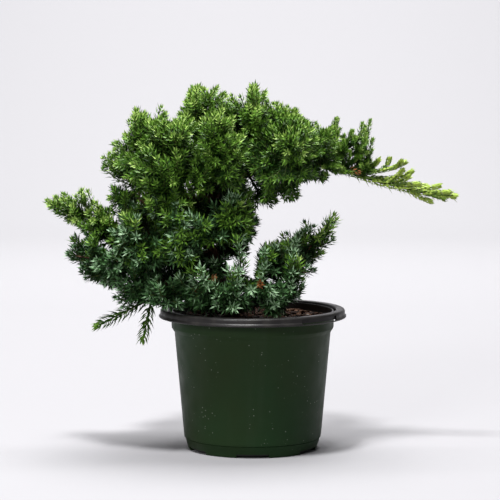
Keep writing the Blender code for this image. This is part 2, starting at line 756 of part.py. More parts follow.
def keep_outer_skin(obj):
    """Drops loose scraps, and fills hollows that the fusing has sealed."""
    bm = bmesh.new()
    bm.from_mesh(obj.data)
    left = set(bm.verts)
    shells = []
    while left:
        shell, edge = set(), [left.pop()]
        while edge:
            vert = edge.pop()
            shell.add(vert)
            near = {e.other_vert(vert) for e in vert.link_edges} & left
            left -= near
            edge.extend(near)
        shells.append(shell)
    largest = max(shells, key=len)
    bmesh.ops.delete(bm, geom=[v for v in bm.verts if v not in largest], context="VERTS")
    bm.to_mesh(obj.data)
    bm.free()


def main():
    clear_scene()
    bark = material("bark")
    make_pot(material("pot_plastic"))
    make_soil(material("soil"))
    limbs = {"trunk": trunk_limb()}
    add_object("trunk", limb_mesh("trunk", limbs["trunk"]), bark, smooth=True)
    for name in BOUGHS:
        limbs[name] = bough_limb(name, limbs)
        make_bough(name, limbs, bark)
    Crown(limbs, material("foliage")).grow()


main()
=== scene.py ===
"""The looks of a young garden juniper trained as a bonsai, in its round plastic nursery pot.

Metres, +Z up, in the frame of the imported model. The limbs and the masses of foliage grow by the rules
and the named sizes of the solids, and are carried on to finer twigs and to single needles.
"""

import math
from collections import namedtuple

import bmesh
import bpy
import numpy as np
from mathutils import Matrix, Vector, noise


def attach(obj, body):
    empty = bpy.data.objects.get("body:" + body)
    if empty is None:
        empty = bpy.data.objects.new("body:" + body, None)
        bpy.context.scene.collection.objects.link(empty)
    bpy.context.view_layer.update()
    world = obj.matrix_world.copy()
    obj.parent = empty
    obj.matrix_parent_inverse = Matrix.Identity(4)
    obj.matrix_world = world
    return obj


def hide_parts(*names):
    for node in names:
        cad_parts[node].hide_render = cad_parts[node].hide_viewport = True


MM = 0.001
UP = np.array([0.0, 0.0, 1.0])
GOLDEN = math.radians(137.5)
GOLDEN_SHARE = 0.618

# How strong fine noise is beside broad noise
FINE_SHARE = 0.5

# A direction off every axis, to start the side axes of a line from
ODD_WAY = np.array([0.31, 0.83, 0.47])

# Camera: the photograph's viewing point and angle
CAMERA_PLACE = (-0.0021, -1.9, 0.334)
CAMERA_AIM = (-0.0021, 0, 0.1617)
CAMERA_LENS = 169.4
SENSOR_WIDTH = 36

# Stage: a floor that curves up into a wall, further back than a camera that goes round the plant, and
# how far back its colour changes. Then each light's name, place, aim, size and power
STAGE_FRONT, STAGE_BACK = -6.0, 2.0
STAGE_BEND = 1.2
STAGE_WIDTH, STAGE_HEIGHT = 9.0, 4.0
STAGE_STEPS = 16
STAGE_FIRST_TURN = 0.1
FLOOR_FROM, FLOOR_TO = 1.0, 2.2
LIGHTS = [
    ("key_light", (-0.3, -0.7, 2.2), (0, 0, 0.2), 0.3, 82),
    ("fill_light", (-0.9, -1.8, 1.0), (0, 0, 0.2), 0.5, 22),
    ("top_light", (0, 0.6, 2.6), (0, 1.6, 0.4), 1.5, 148),
    ("wall_light", (0, 1.5, 1.8), (0, 3.2, 0.6), 1.5, 40),
]
WORLD_COLOUR = (0.97, 0.97, 1.0, 1)
WORLD_LIGHT = 0.12

# Pot: a 6 inch azalea pot, as the solids have it, with its lip rolled round. The arcs and the label run
# between angles in degrees
POT_HEIGHT = 114.3 * MM
POT_SIDES = 160
WALL = 1.0 * MM
FLOOR = 1.5 * MM
FOOT_RADIUS = 52.5 * MM
FOOT_TOP = 9.5 * MM
FOOT_TOP_RADIUS = 54.9 * MM
BODY_FOOT_RADIUS = 56.0 * MM
BODY_FOOT = 12.5 * MM
BODY_TOP_RADIUS = 63.4 * MM
BODY_TOP = 96.0 * MM
COLLAR_RADIUS = 65.8 * MM
COLLAR_FOOT = 99.5 * MM
LIP_RADIUS = 76.2 * MM
LIP_TOP_RADIUS = 75.0 * MM
LIP_FOOT = POT_HEIGHT - 6.8 * MM
LIP_ROUND = 2.0 * MM
LIP_THICKNESS = 1.6 * MM
LINING = 0.3 * MM
LIP_ROOT = 2.2 * MM
SKIRT = 2.2 * MM
SKIRT_BEAD = 2.6 * MM
MOUTH_RADIUS = 67.9 * MM
MOUTH_EDGE = 1.2 * MM
FOOT_EDGE = 1.0 * MM
STEP_EDGE = 0.4 * MM
COLLAR_ARC = (-30, 0)
SKIRT_ARC = (-150, 20)
ROUND_STEPS = 6
NOTCHES = 6
NOTCH_WIDTH = 26 * MM
NOTCH_HEIGHT = 3.0 * MM
NOTCH_DEPTH = 7 * MM
LABEL_FROM, LABEL_TO = -59, -27
LABEL_DEPTH = 1.2 * MM
LABEL_FOOT = LIP_FOOT + 0.9 * MM
LABEL_TOP = POT_HEIGHT - 1.9 * MM
LABEL_STEPS = 16
CUT_PAST = 4 * MM
POT_ROOM = 1 * MM
SHARP = math.radians(40)
WELD = 0.01 * MM

# Soil: its level under the mouth, its lumps and its room in the pot, and how many chips of bark and white
# grains lie on it, their sizes in millimetres and how flat they are. Then their room at the wall, how far
# up their middles stand for their size, and the ranges of their shapes
SOIL_TOP = POT_HEIGHT - 8 * MM
SOIL_RINGS = 30
SOIL_SIDES = 90
SOIL_LUMP = 1.6 * MM
SOIL_LUMP_SIZE = 6 * MM
SOIL_ROOM = 0.6 * MM
SOIL_SEED = 5
Scatter = namedtuple("Scatter", "count sizes flat")
CHIPS = Scatter(900, (1.2, 4.2), 0.35)
GRAINS = Scatter(26, (0.8, 1.7), 0.7)
SCATTER_ROOM = 3 * MM
LUMP_LIFT = 0.2
LUMP_LONG, LUMP_WIDE = (0.6, 1.5), (0.5, 0.9)
LUMP_UNEVEN = (0.75, 1.2)
LUMP_TILT = 0.5

# Trunk: its line in millimetres from the cut on the soil to the tip, and its radii
TRUNK_LINE = [(-14, 6, 0), (-20, 5, 22), (-33, 3, 50), (-41, 2, 80), (-40, 2, 106), (-37, 2, 126)]
TRUNK_FOOT_RADIUS = 7.4
TRUNK_TIP_RADIUS = 2.3

# Root flare: how far it stands out at the foot, how soon it fades upwards, and its lobes
FLARE = 5.5 * MM
FLARE_HEIGHT = 7 * MM
FLARE_LOBES = 5
LOBE_DEPTH = 0.4

# Boughs: the limb each leaves and how far along it, then its tip and upward bow in millimetres, and
# its radii at foot and tip
Bough = namedtuple("Bough", "limb share tip bow foot_radius tip_radius")
BOUGHS = {
    "bough_rim_left": Bough("trunk", 0.07, (-87, -14, 121), -1, 2.4, 1.2),
    "bough_low_left": Bough("trunk", 0.15, (-84, -21, 150), -13, 3.0, 1.5),
    "bough_mid_left": Bough("trunk", 0.40, (-92, -8, 174), 4, 2.8, 1.5),
    "bough_high_left": Bough("trunk", 0.56, (-92, -3, 204), -4, 2.8, 1.6),
    "bough_top": Bough("trunk", 0.80, (-3, -1, 228), 4, 2.6, 1.5),
    "bough_arch": Bough("trunk", 0.69, (28, -3, 229), 8, 3.2, 2.2),
    "bough_reach": Bough("bough_arch", 1.0, (70, -4, 229), 3, 2.0, 1.4),
    "bough_low_right": Bough("trunk", 0.05, (14, -9, 127), -2, 3.0, 1.5),
    "bough_front_left": Bough("trunk", 0.66, (-54, -22, 222), -3, 2.2, 1.3),
    "bough_front_right": Bough("bough_arch", 0.62, (24, -26, 232), 1, 1.7, 1.2),
    "bough_back_left": Bough("trunk", 0.62, (-64, 26, 220), -3, 2.4, 1.3),
    "bough_back_right": Bough("bough_arch", 0.70, (24, 26, 231), 1, 1.7, 1.2),
    "bough_back_low": Bough("trunk", 0.28, (-60, 32, 158), -4, 2.4, 1.3),
}
LIMB_STEPS = 12

# Bark: how far its rings are apart, how many ridges go round a limb, how long they are and how high
# they stand on the radius, and how much finer the second set is
BARK_STEP = 1.2 * MM
TRUNK_SIDES = 44
BOUGH_SIDES = 16
RIDGES = 2.4
RIDGE_LENGTH = 14 * MM
RIDGE_HEIGHT = 0.22
FINER_RIDGES = 2.3

# Masses: the limb each stem leaves and how far along it, then the far end of its space, how far that
# space reaches level across and square to that, and the tone of its foliage
Mass = namedtuple("Mass", "limb share tip wide tall tone")
MASSES = {
    "arm_left": Mass("bough_mid_left", 1.0, (-169, -12, 203), 16, 19, "arm"),
    "mid_left": Mass("bough_mid_left", 0.82, (-116, -10, 218), 18, 18, "upper"),
    "low_left": Mass("bough_low_left", 1.0, (-153, -24, 161), 19, 25, "left"),
    "sprig_left": Mass("bough_rim_left", 1.0, (-128, -20, 101), 12, 12, "sprig"),
    "sprig_hanging": Mass("bough_rim_left", 0.93, (-89, -19, 89), 10, 10, "sprig"),
    "foot_left": Mass("bough_rim_left", 0.62, (-112, -34, 138), 20, 20, "skirt"),
    "foot_front_left": Mass("bough_low_left", 0.62, (-74, -56, 130), 17, 17, "skirt"),
    "foot_back_left": Mass("bough_low_left", 0.5, (-84, 34, 140), 20, 19, "skirt"),
    "front_left": Mass("bough_mid_left", 0.6, (-96, -56, 176), 25, 25, "skirt"),
    "crown_left": Mass("bough_high_left", 1.0, (-78, -5, 285), 36, 30, "crown"),
    "crown_top_left": Mass("trunk", 1.0, (-44, 0, 301), 28, 28, "crown"),
    "crown_top": Mass("bough_top", 1.0, (3, 0, 301), 28, 28, "crown"),
    "crown_right": Mass("bough_arch", 0.9, (38, -6, 283), 30, 27, "crown"),
    "crown_front_left": Mass("bough_front_left", 1.0, (-62, -68, 258), 29, 27, "crown"),
    "crown_front_mid": Mass("trunk", 0.88, (-20, -66, 262), 27, 27, "crown"),
    "crown_front_right": Mass("bough_front_right", 1.0, (30, -64, 256), 27, 25, "crown"),
    "crown_back_left": Mass("bough_back_left", 1.0, (-74, 74, 254), 34, 31, "crown"),
    "crown_back_mid": Mass("trunk", 0.86, (-22, 80, 262), 30, 29, "crown"),
    "crown_back_right": Mass("bough_back_right", 1.0, (34, 70, 254), 28, 25, "crown"),
    "shoulder_left": Mass("bough_reach", 0.5, (68, -6, 274), 12, 12, "plume"),
    "shoulder_right": Mass("bough_reach", 0.88, (98, -6, 271), 13, 13, "plume"),
    "tip_right": Mass("bough_reach", 1.0, (167, -8, 205), 12, 13, "reach"),
    "hang_right": Mass("bough_arch", 0.84, (34, -12, 201), 19, 14, "inner"),
    "hang_mid": Mass("bough_arch", 0.55, (14, -8, 191), 15, 13, "inner"),
    "under_reach": Mass("bough_reach", 0.35, (62, -14, 214), 13, 13, "inner"),
    "column_high_left": Mass("trunk", 0.64, (-80, -52, 216), 26, 26, "upper"),
    "column_high_right": Mass("trunk", 0.57, (-2, -46, 194), 27, 27, "column"),
    "column_mid_left": Mass("trunk", 0.42, (-64, -58, 168), 27, 25, "column"),
    "column_mid_right": Mass("trunk", 0.35, (-12, -52, 166), 26, 25, "column"),
    "column_low_left": Mass("trunk", 0.18, (-58, -52, 136), 25, 18, "column"),
    "column_low_right": Mass("trunk", 0.13, (-14, -54, 130), 21, 14, "column"),
    "low_right": Mass("bough_low_right", 1.0, (69, -14, 192), 18, 20, "foot"),
    "low_right_mid": Mass("bough_low_right", 0.6, (14, -26, 168), 16, 17, "foot"),
    "low_right_front": Mass("bough_low_right", 0.8, (42, -50, 130), 22, 16, "foot"),
    "back_inner_high": Mass("trunk", 0.76, (2, 46, 224), 26, 20, "inner"),
    "back_inner_low": Mass("trunk", 0.43, (-8, 44, 180), 25, 20, "inner"),
    "back_high": Mass("trunk", 0.59, (-40, 76, 206), 38, 27, "column"),
    "back_low": Mass("trunk", 0.23, (-18, 68, 146), 34, 25, "column"),
    "back_left": Mass("bough_back_low", 1.0, (-114, 46, 186), 29, 27, "column"),
}

# Where the sine of a stem's slant from upright is below this, its space's level axis follows X
STEEP = 0.35

# The foliage's outline as the photograph shows it from the front, in its pixels, and the gaps in it
# where sky shows. Twigs stop short of both by a random margin that their needles fill.
PHOTO_SIZE = 500
OUTLINE = [
    (45, 201), (49, 197), (55, 194), (58, 197), (61, 192), (66, 191), (69, 196), (73, 196), (76, 191),
    (80, 190), (84, 187), (89, 189), (92, 195), (96, 201), (101, 206), (106, 208), (110, 204), (106, 200),
    (109, 195), (108, 190), (113, 184), (118, 187), (121, 185), (126, 183), (130, 190), (129, 182),
    (122, 180), (117, 177), (113, 173), (108, 171), (103, 171), (99, 169), (100, 165), (104, 162),
    (101, 158), (102, 154), (107, 153), (112, 152), (113, 148), (111, 144), (115, 139), (119, 140),
    (123, 137), (122, 133), (127, 132), (131, 128), (127, 124), (126, 119), (130, 117), (132, 111),
    (134, 106), (138, 107), (141, 111), (146, 112), (150, 115), (151, 119), (156, 119), (159, 114),
    (158, 109), (161, 105), (164, 106), (168, 110), (168, 117), (171, 120), (175, 118), (179, 112),
    (181, 108), (180, 104), (184, 101), (181, 98), (186, 96), (185, 91), (189, 89), (192, 84), (193, 81),
    (197, 81), (200, 84), (203, 86), (207, 88), (211, 89), (214, 86), (217, 83), (221, 84), (222, 89),
    (226, 92), (230, 94), (232, 98), (236, 97), (239, 93), (242, 97), (244, 107), (247, 99), (246, 90),
    (250, 86), (251, 83), (255, 82), (259, 81), (261, 86), (262, 90), (265, 90), (268, 89), (270, 93),
    (268, 100), (271, 101), (275, 102), (278, 100), (281, 103), (282, 106), (287, 105), (290, 108),
    (296, 106), (299, 109), (300, 114), (304, 118), (308, 120), (311, 124), (313, 127), (317, 123),
    (321, 125), (324, 129), (328, 127), (331, 122), (334, 118), (338, 116), (341, 119), (343, 124),
    (341, 130), (340, 136), (344, 133), (348, 131), (352, 128), (356, 131), (358, 138), (361, 131),
    (361, 124), (364, 121), (367, 123), (370, 118), (372, 122), (371, 127), (369, 131), (372, 136),
    (374, 141), (373, 147), (370, 152), (368, 155), (373, 158), (378, 157), (380, 160), (378, 165),
    (383, 163), (385, 159), (389, 157), (391, 160), (391, 164), (396, 163), (402, 161), (407, 161),
    (407, 166), (404, 170), (408, 171), (413, 170), (413, 175), (408, 178), (407, 181), (411, 182),
    (416, 184), (421, 183), (425, 187), (431, 187), (436, 184), (440, 184), (440, 187), (434, 190),
    (438, 193), (443, 191), (449, 191), (451, 194), (456, 196), (455, 199), (449, 199), (443, 200),
    (438, 198), (433, 198), (432, 202), (426, 203), (421, 203), (420, 198), (417, 195), (411, 193),
    (407, 194), (402, 191), (396, 190), (390, 191), (385, 190), (380, 187), (376, 184), (370, 183),
    (366, 181), (361, 179), (357, 177), (354, 182), (349, 178), (344, 177), (338, 174), (332, 175),
    (329, 178), (326, 182), (320, 182), (315, 180), (310, 182), (304, 182), (300, 184), (298, 188),
    (303, 193), (299, 197), (296, 201), (288, 201), (284, 199), (281, 195), (278, 197), (279, 202),
    (275, 206), (271, 209), (269, 204), (263, 203), (259, 207), (261, 211), (257, 215), (260, 221),
    (259, 226), (255, 230), (255, 235), (252, 239), (253, 244), (250, 249), (252, 254), (256, 256),
    (258, 250), (259, 244), (263, 243), (267, 245), (270, 242), (275, 242), (279, 239), (280, 234),
    (285, 232), (289, 235), (292, 238), (295, 234), (299, 233), (302, 229), (300, 226), (296, 224),
    (302, 223), (304, 219), (309, 223), (313, 222), (317, 225), (321, 227), (322, 222), (326, 218),
    (330, 216), (333, 212), (335, 212), (336, 217), (340, 217), (338, 221), (335, 224), (333, 229),
    (334, 234), (336, 240), (332, 242), (330, 246), (325, 248), (322, 251), (327, 254), (320, 257),
    (318, 261), (313, 263), (312, 267), (319, 269), (316, 273), (311, 276), (308, 279), (304, 283),
    (305, 288), (303, 292), (299, 296), (297, 301), (288, 303), (285, 311), (280, 316), (274, 318),
    (267, 316), (262, 311), (248, 312), (232, 312), (215, 313), (195, 311), (175, 311), (161, 308),
    (155, 306), (155, 312), (159, 318), (155, 323), (153, 332), (149, 336), (146, 341), (141, 338),
    (137, 330), (141, 322), (145, 315), (149, 310), (149, 303), (138, 303), (131, 305), (127, 311),
    (121, 316), (115, 322), (109, 325), (104, 328), (95, 326), (96, 321), (101, 316), (107, 313),
    (112, 309), (119, 306), (117, 301), (112, 300), (113, 297), (118, 295), (116, 292), (111, 290),
    (107, 287), (101, 283), (96, 286), (90, 281), (83, 282), (85, 278), (80, 276), (79, 270), (81, 266),
    (75, 264), (70, 262), (67, 258), (63, 255), (64, 251), (69, 249), (72, 246), (69, 241), (71, 236),
    (75, 233), (79, 236), (84, 241), (84, 236), (80, 231), (76, 227), (72, 225), (68, 223), (63, 220),
    (58, 216), (53, 213), (48, 211), (45, 207),
]
SKY_GAPS = [
    [(243, 174), (248, 172), (253, 174), (257, 179), (258, 184), (258, 190), (254, 190), (248, 181)],
    [(183, 187), (188, 181), (191, 184), (188, 190)],
    [(114, 204), (118, 206), (119, 216), (120, 224), (116, 222), (113, 212)],
    [(104, 241), (107, 244), (108, 250), (105, 250)],
    [(224, 262), (229, 258), (234, 261), (232, 266), (226, 267)],
    [(247, 270), (252, 268), (255, 274), (254, 281), (249, 280)],
    [(236, 290), (240, 288), (245, 292), (240, 296)],
    [(221, 277), (226, 276), (227, 282), (222, 284)],
    [(349, 144), (351, 144), (352, 158), (349, 158)],
]

# That margin in pixels, for young needles of so many millimetres, and the one that stems keep. Then
# how far twigs reach in Y
MARGIN = (2.0, 4.5)
MARGIN_NEEDLE = 5
STEM_MARGIN = 3
FRONT_END, BACK_END = -70 * MM, 75 * MM

# The line of the long side branch past its bough, in the photograph's pixels, and its level of Y in
# millimetres, negative in front of the trunk's plane
LEADER = [(334, 167), (345, 170), (357, 174), (378, 181), (397, 186), (423, 192), (453, 196)]
LEADER_Y = -6

# The sprigs of scale leaves on it: each one's line in those pixels and its tip's level of Y. Then the
# dead bud, and how far in front of the branch it is
LEADER_SPRIGS = [
    ([(358, 173), (378, 171), (393, 168), (404, 163)], -10),
    ([(366, 172), (373, 167), (378, 161)], -14),
    ([(380, 171), (386, 166), (389, 160)], -6),
    ([(390, 169), (397, 166), (401, 162)], -15),
    ([(372, 178), (388, 178), (402, 176), (411, 172)], -4),
    ([(384, 182), (394, 178), (402, 171)], -13),
    ([(392, 183), (402, 180), (408, 177)], -12),
    ([(396, 184), (408, 184), (418, 184)], -12),
    ([(408, 187), (418, 186), (425, 186)], -4),
    ([(417, 190), (428, 188), (438, 186)], -8),
    ([(409, 189), (417, 196), (430, 201)], -3),
    ([(424, 191), (438, 192), (448, 192)], -11),
    ([(428, 193), (436, 196), (443, 198)], -8),
    ([(346, 169), (357, 168), (365, 164)], -14),
    ([(352, 171), (362, 169), (370, 165)], -4),
    ([(340, 167), (349, 164), (356, 159)], -15),
]
DEAD_BUD = [(350, 170), (354, 171), (358, 172)]
BUD_OUT = 11

# Twigs placed one by one, where the photograph shows a shoot: the mass and the tone, then for each twig how
# far along the mass's stem it leaves, its tip in the photograph's pixels and the tip's level of Y in
# millimetres
SPURS = [
    ("arm_left", "arm", [
        (0.95, 45, 200, -10), (0.9, 55, 195, -14), (0.76, 64, 193, -4), (0.62, 75, 195, -20),
        (0.55, 82, 192, -8), (0.46, 87, 189, -12), (0.36, 95, 201, -22), (0.6, 68, 220, -16),
        (0.4, 80, 229, -10),
    ]),
    ("arm_left", "left", [(0.2, 101, 209, 2)]),
    ("mid_left", "inner", [(0.7, 126, 185, -4), (0.8, 115, 187, -12), (0.9, 108, 200, -6)]),
    ("mid_left", "left", [(0.5, 100, 236, -14), (0.3, 103, 246, -6)]),
    ("low_left", "left", [
        (0.7, 74, 236, -18), (0.95, 66, 254, -26), (0.5, 90, 240, -30), (0.35, 84, 279, -24),
    ]),
    ("foot_left", "skirt", [(0.6, 136, 283, -34), (0.8, 114, 298, -30)]),
    ("crown_left", "crown", [
        (0.3, 101, 157, -6), (0.15, 101, 168, -10), (0.2, 113, 174, 4), (0.45, 115, 142, -2),
        (0.55, 123, 134, -14), (0.7, 127, 120, -2), (0.85, 135, 107, -10), (0.8, 147, 113, -16),
        (0.8, 162, 105, -8),
    ]),
    ("crown_top_left", "crown", [(0.7, 205, 88, -14), (0.8, 219, 86, -6), (0.6, 212, 100, -20)]),
    ("crown_top", "crown", [
        (0.3, 222, 104, -16), (0.45, 230, 94, -10), (0.6, 239, 95, -2), (0.85, 267, 91, -8),
    ]),
    ("shoulder_left", "plume", [(0.4, 337, 117, -12), (0.25, 342, 127, -4)]),
    ("shoulder_right", "plume", [(0.1, 345, 133, -12), (0.25, 353, 129, -6)]),
    ("tip_right", "plume", [
        (0.12, 357, 138, -12), (0.18, 363, 121, -2), (0.22, 371, 118, -10), (0.24, 374, 137, -14),
        (0.25, 373, 148, -16), (0.16, 350, 150, -18),
    ]),
    ("crown_right", "crown", [(0.8, 287, 105, -10), (0.75, 296, 107, -4), (0.6, 318, 123, -14)]),
    ("crown_front_mid", "inner", [(0.55, 228, 172, -52), (0.45, 240, 168, -44)]),
    ("crown_front_right", "inner", [
        (0.45, 252, 168, -46), (0.4, 264, 172, -40), (0.5, 278, 176, -44), (0.6, 294, 178, -46),
    ]),
    ("under_reach", "inner", [(0.2, 306, 181, -20), (0.5, 316, 180, -12), (0.8, 328, 178, -8)]),
    ("hang_right", "inner", [(0.9, 300, 194, -14), (0.8, 285, 200, -20)]),
    ("hang_mid", "inner", [(0.9, 272, 207, -8), (0.7, 264, 202, -14)]),
    ("low_right", "foot", [
        (0.95, 335, 213, -14), (0.8, 338, 218, -20), (0.72, 304, 221, -8), (0.6, 286, 233, -16),
        (0.5, 297, 233, -24), (0.65, 334, 240, -14), (0.45, 324, 252, -20), (0.3, 316, 270, -18),
        (0.4, 290, 256, -34),
    ]),
    ("low_right_mid", "foot", [(0.7, 280, 262, -40), (0.6, 270, 264, -38)]),
    ("low_right_front", "foot", [(0.6, 292, 274, -46)]),
    ("low_right_mid", "foot", [(0.8, 265, 244, -26), (0.95, 273, 243, -30)]),
    ("column_high_left", "column", [(0.5, 178, 232, -66)]),
    ("column_high_right", "column", [(0.45, 188, 238, -60), (0.4, 200, 232, -64)]),
    ("column_mid_left", "column", [(0.6, 172, 240, -66)]),
    ("column_high_left", "upper", [
        (0.75, 152, 172, -58), (0.8, 163, 168, -62), (0.7, 174, 166, -60), (0.65, 184, 172, -56),
        (0.6, 188, 184, -60),
    ]),
    ("crown_left", "upper", [(0.25, 140, 176, -24), (0.25, 130, 170, -16)]),
    ("crown_front_left", "crown", [(0.6, 145, 166, -50)]),
    ("crown_right", "crown", [
        (0.7, 272, 102, -8), (0.8, 280, 104, -14), (0.55, 276, 114, -22), (0.4, 302, 122, -10),
        (0.3, 328, 152, -22),
    ]),
    ("shoulder_left", "plume", [(0.1, 330, 164, -18)]),
    ("shoulder_left", "crown", [(0.3, 322, 148, -20)]),
    ("crown_top_left", "crown", [
        (0.45, 185, 99, -12), (0.55, 188, 92, -6), (0.3, 184, 112, -18), (0.35, 194, 118, -28),
    ]),
    ("crown_left", "crown", [
        (0.75, 166, 112, -14), (0.65, 131, 116, -8), (0.45, 112, 150, -4), (0.25, 102, 163, -8),
        (0.3, 111, 171, -14),
    ]),
    ("crown_front_mid", "upper", [(0.2, 192, 176, -50)]),
    ("hang_mid", "inner", [(0.6, 268, 197, -20), (0.75, 277, 203, -14), (0.5, 273, 190, -22)]),
    ("mid_left", "upper", [(0.75, 108, 199, -12)]),
    ("mid_left", "left", [(0.55, 113, 213, -18)]),
    ("low_left", "left", [(0.3, 108, 265, -28), (0.2, 122, 270, -34), (0.85, 72, 245, -16)]),
    ("foot_left", "skirt", [(0.3, 133, 299, -30), (0.5, 120, 301, -24)]),
    ("arm_left", "arm", [(0.9, 47, 206, -16), (0.75, 58, 214, -12)]),
    ("low_right_mid", "foot", [(0.4, 250, 284, -44), (0.3, 243, 291, -48)]),
    ("low_right_front", "foot", [(0.9, 302, 287, -40)]),
    ("shoulder_right", "plume", [
        (0.15, 338, 130, -16), (0.2, 341, 142, -18), (0.3, 347, 138, -14), (0.55, 352, 134, -10),
        (0.75, 366, 128, -14), (0.5, 362, 150, -14),
    ]),
    ("tip_right", "plume", [(0.14, 343, 152, -16), (0.2, 366, 140, -8)]),
    ("hang_mid", "inner", [
        (0.05, 250, 163, -14), (0.1, 243, 168, -18), (0.2, 262, 176, -20), (0.35, 266, 184, -22),
    ]),
    ("hang_right", "inner", [(0.1, 258, 166, -18), (0.2, 268, 172, -20)]),
    ("crown_front_mid", "inner", [(0.15, 236, 170, -30), (0.1, 246, 166, -26)]),
    ("crown_top", "crown", [(0.5, 262, 112, -18), (0.55, 249, 108, -22), (0.35, 258, 120, -26)]),
    ("column_high_left", "upper", [(0.25, 163, 206, -48), (0.2, 171, 212, -50)]),
    ("arm_left", "left", [(0.3, 100, 222, -14), (0.25, 92, 232, -8)]),
    ("low_left", "left", [
        (0.6, 80, 261, -18), (0.45, 92, 267, -22), (0.7, 71, 260, -22), (0.4, 101, 276, -18),
    ]),
    ("tip_right", "plume", [(0.1, 345, 162, -14), (0.08, 338, 158, -16)]),
    ("crown_front_mid", "crown", [(0.35, 190, 162, -50)]),
    ("crown_front_left", "crown", [(0.35, 180, 158, -46)]),
    ("crown_front_mid", "upper", [(0.3, 197, 168, -44)]),
    ("low_right_mid", "foot", [(0.35, 258, 290, -46), (0.42, 261, 272, -42)]),
    ("crown_left", "left", [(0.15, 112, 207, -14)]),
    ("column_mid_right", "column", [(0.6, 205, 284, -66)]),
    ("column_low_right", "column", [(0.8, 232, 276, -66), (0.7, 222, 290, -67), (0.95, 245, 262, -62)]),
    ("column_low_left", "dead", [(0.9, 216, 277, -67)]),
    ("low_right_mid", "dead", [(0.5, 260, 284, -60)]),
    ("low_right", "dead", [(0.35, 306, 272, -22)]),
]

# They sag by a share of their length, and stop short of their tips by what their needles fill
SPUR_SAG = 0.1
SPUR_SHORT = 3 * MM

# Twigs: a step along them, then for the stem and each order of twig how long it may grow, how far its
# side twigs are apart and spread in degrees, and the radius at its foot and tip, in millimetres
STEP = 1.0 * MM
Order = namedtuple("Order", "length spacing spread radii")
ORDERS = [
    Order((200, 200), 0.9, 66, (1.3, 0.5)),
    Order((60, 60), 1.9, 50, (0.7, 0.4)),
    Order((13, 24), 1.9, 46, (0.5, 0.35)),
    Order((7, 13), 0, 0, (0.35, 0.3)),
]
GROWTH_SEED = 11

# How much of its space a stem runs through and in how many points, how many degrees of spread side twigs
# lose towards its tip and by how many they differ, where they begin, how far past its space's edge a twig
# may go and the room its tip keeps, and how it bends at each step
STEM_REACH = 0.9
STEM_STEPS = 40
SPREAD_LOSS = 26
SWAY = 9
FIRST_TWIG = 0.1
EDGE = (1.0, 1.3)
TIP_ROOM = 2.0 * MM
OUTWARD_BEND = 0.03
UPWARD_BEND = 0.035

# Tips stay this far apart. A twig that comes nearer is cut back by so many points at a time, and is
# left out below the shortest. Then the most twigs there can be, how many sides they have and how many
# points lie from ring to ring
APART = 5.4 * MM
CUT_BACK = 2
SHORTEST = 5
MOST_TWIGS = 20000
TWIG_SIDES = 4
TWIG_EVERY = 4

# Foliage tones, in millimetres and degrees: the old and young needles' length, lean from the twig and
# how far apart their whorls are, their width and curl, how long the young end of a shoot is, the ladder
# and level of its greens, up to which order it bears twigs and a factor on their radii
Tone = namedtuple("Tone", "old young width curl young_part ladder level orders thick")
Leaf = namedtuple("Leaf", "length lean apart")
TONES = {
    "crown": Tone(Leaf(6.2, 54, 2.3), Leaf(5.0, 41, 1.5), 1.3, 9, 7, "green", 1.75, 3, 1.0),
    "arm": Tone(Leaf(6.0, 52, 2.3), Leaf(5.0, 38, 1.4), 1.3, 9, 9, "green", 2.7, 3, 1.0),
    "upper": Tone(Leaf(6.6, 56, 2.4), Leaf(5.6, 43, 1.7), 1.35, 9, 7, "by height", 1.5, 3, 1.0),
    "plume": Tone(Leaf(4.8, 42, 1.4), Leaf(4.0, 30, 1.0), 1.3, 9, 8, "green", 2.7, 3, 0.8),
    # The inner tone's lower level is painted shade on shoots under and inside the crown.
    "inner": Tone(Leaf(6.6, 58, 2.3), Leaf(5.8, 46, 1.7), 1.3, 9, 6, "green", 1.1, 3, 1.0),
    "left": Tone(Leaf(7.0, 56, 2.4), Leaf(6.0, 42, 1.6), 1.4, 9, 8, "by height", 1.3, 3, 1.0),
    "skirt": Tone(Leaf(7.6, 60, 2.6), Leaf(6.6, 46, 1.9), 1.4, 9, 8, "by height", 1.05, 3, 1.0),
    "sprig": Tone(Leaf(9.2, 44, 2.0), Leaf(7.6, 30, 1.6), 2.3, 9, 6, "green", 1.5, 0, 0.8),
    "column": Tone(Leaf(7.8, 62, 2.7), Leaf(7.0, 48, 2.0), 1.4, 9, 8, "by height", 1.0, 3, 1.0),
    "foot": Tone(Leaf(7.6, 60, 2.5), Leaf(6.6, 45, 1.8), 1.4, 9, 8, "by height", 1.45, 3, 1.0),
    "reach": Tone(Leaf(5.4, 26, 1.4), Leaf(4.8, 24, 1.1), 2.3, 26, 8, "lime", 0.6, 0, 1.6),
    "barbs": Tone(Leaf(7.5, 50, 3.8), Leaf(6.0, 42, 3.4), 1.7, 4, 8, "lime", -0.6, 0, 2.0),
    "scale": Tone(Leaf(4.2, 18, 1.3), Leaf(5.0, 26, 1.0), 2.1, 24, 9, "lime", 0.25, 0, 1.1),
    "dead": Tone(Leaf(5.0, 50, 2.0), Leaf(4.0, 40, 1.4), 1.4, 9, 4, "brown", 0.0, 0, 1.0),
}
GREEN_STEMS = ("reach", "barbs", "scale", "plume", "sprig")

# The ladders of greens, from dark to pale: the colour of a needle's outer side and of its inner one
LADDERS = {
    "green": [("dark", "deep"), ("deep", "mid"), ("deep", "fresh"), ("mid", "fresh"), ("fresh", "bright")],
    "blue": [("dark", "deep_blue"), ("deep_blue", "blue"), ("deep_blue", "pale_blue"), ("blue", "frost")],
    "lime": [("deep", "olive"), ("olive", "lime"), ("lime", "pale_lime")],
    "brown": [("brown", "brown")],
}

# Between these heights the chance that a twig takes the green ladder, not the blue, goes from 0 to 1
GREEN_FROM, GREEN_TO = 125 * MM, 235 * MM
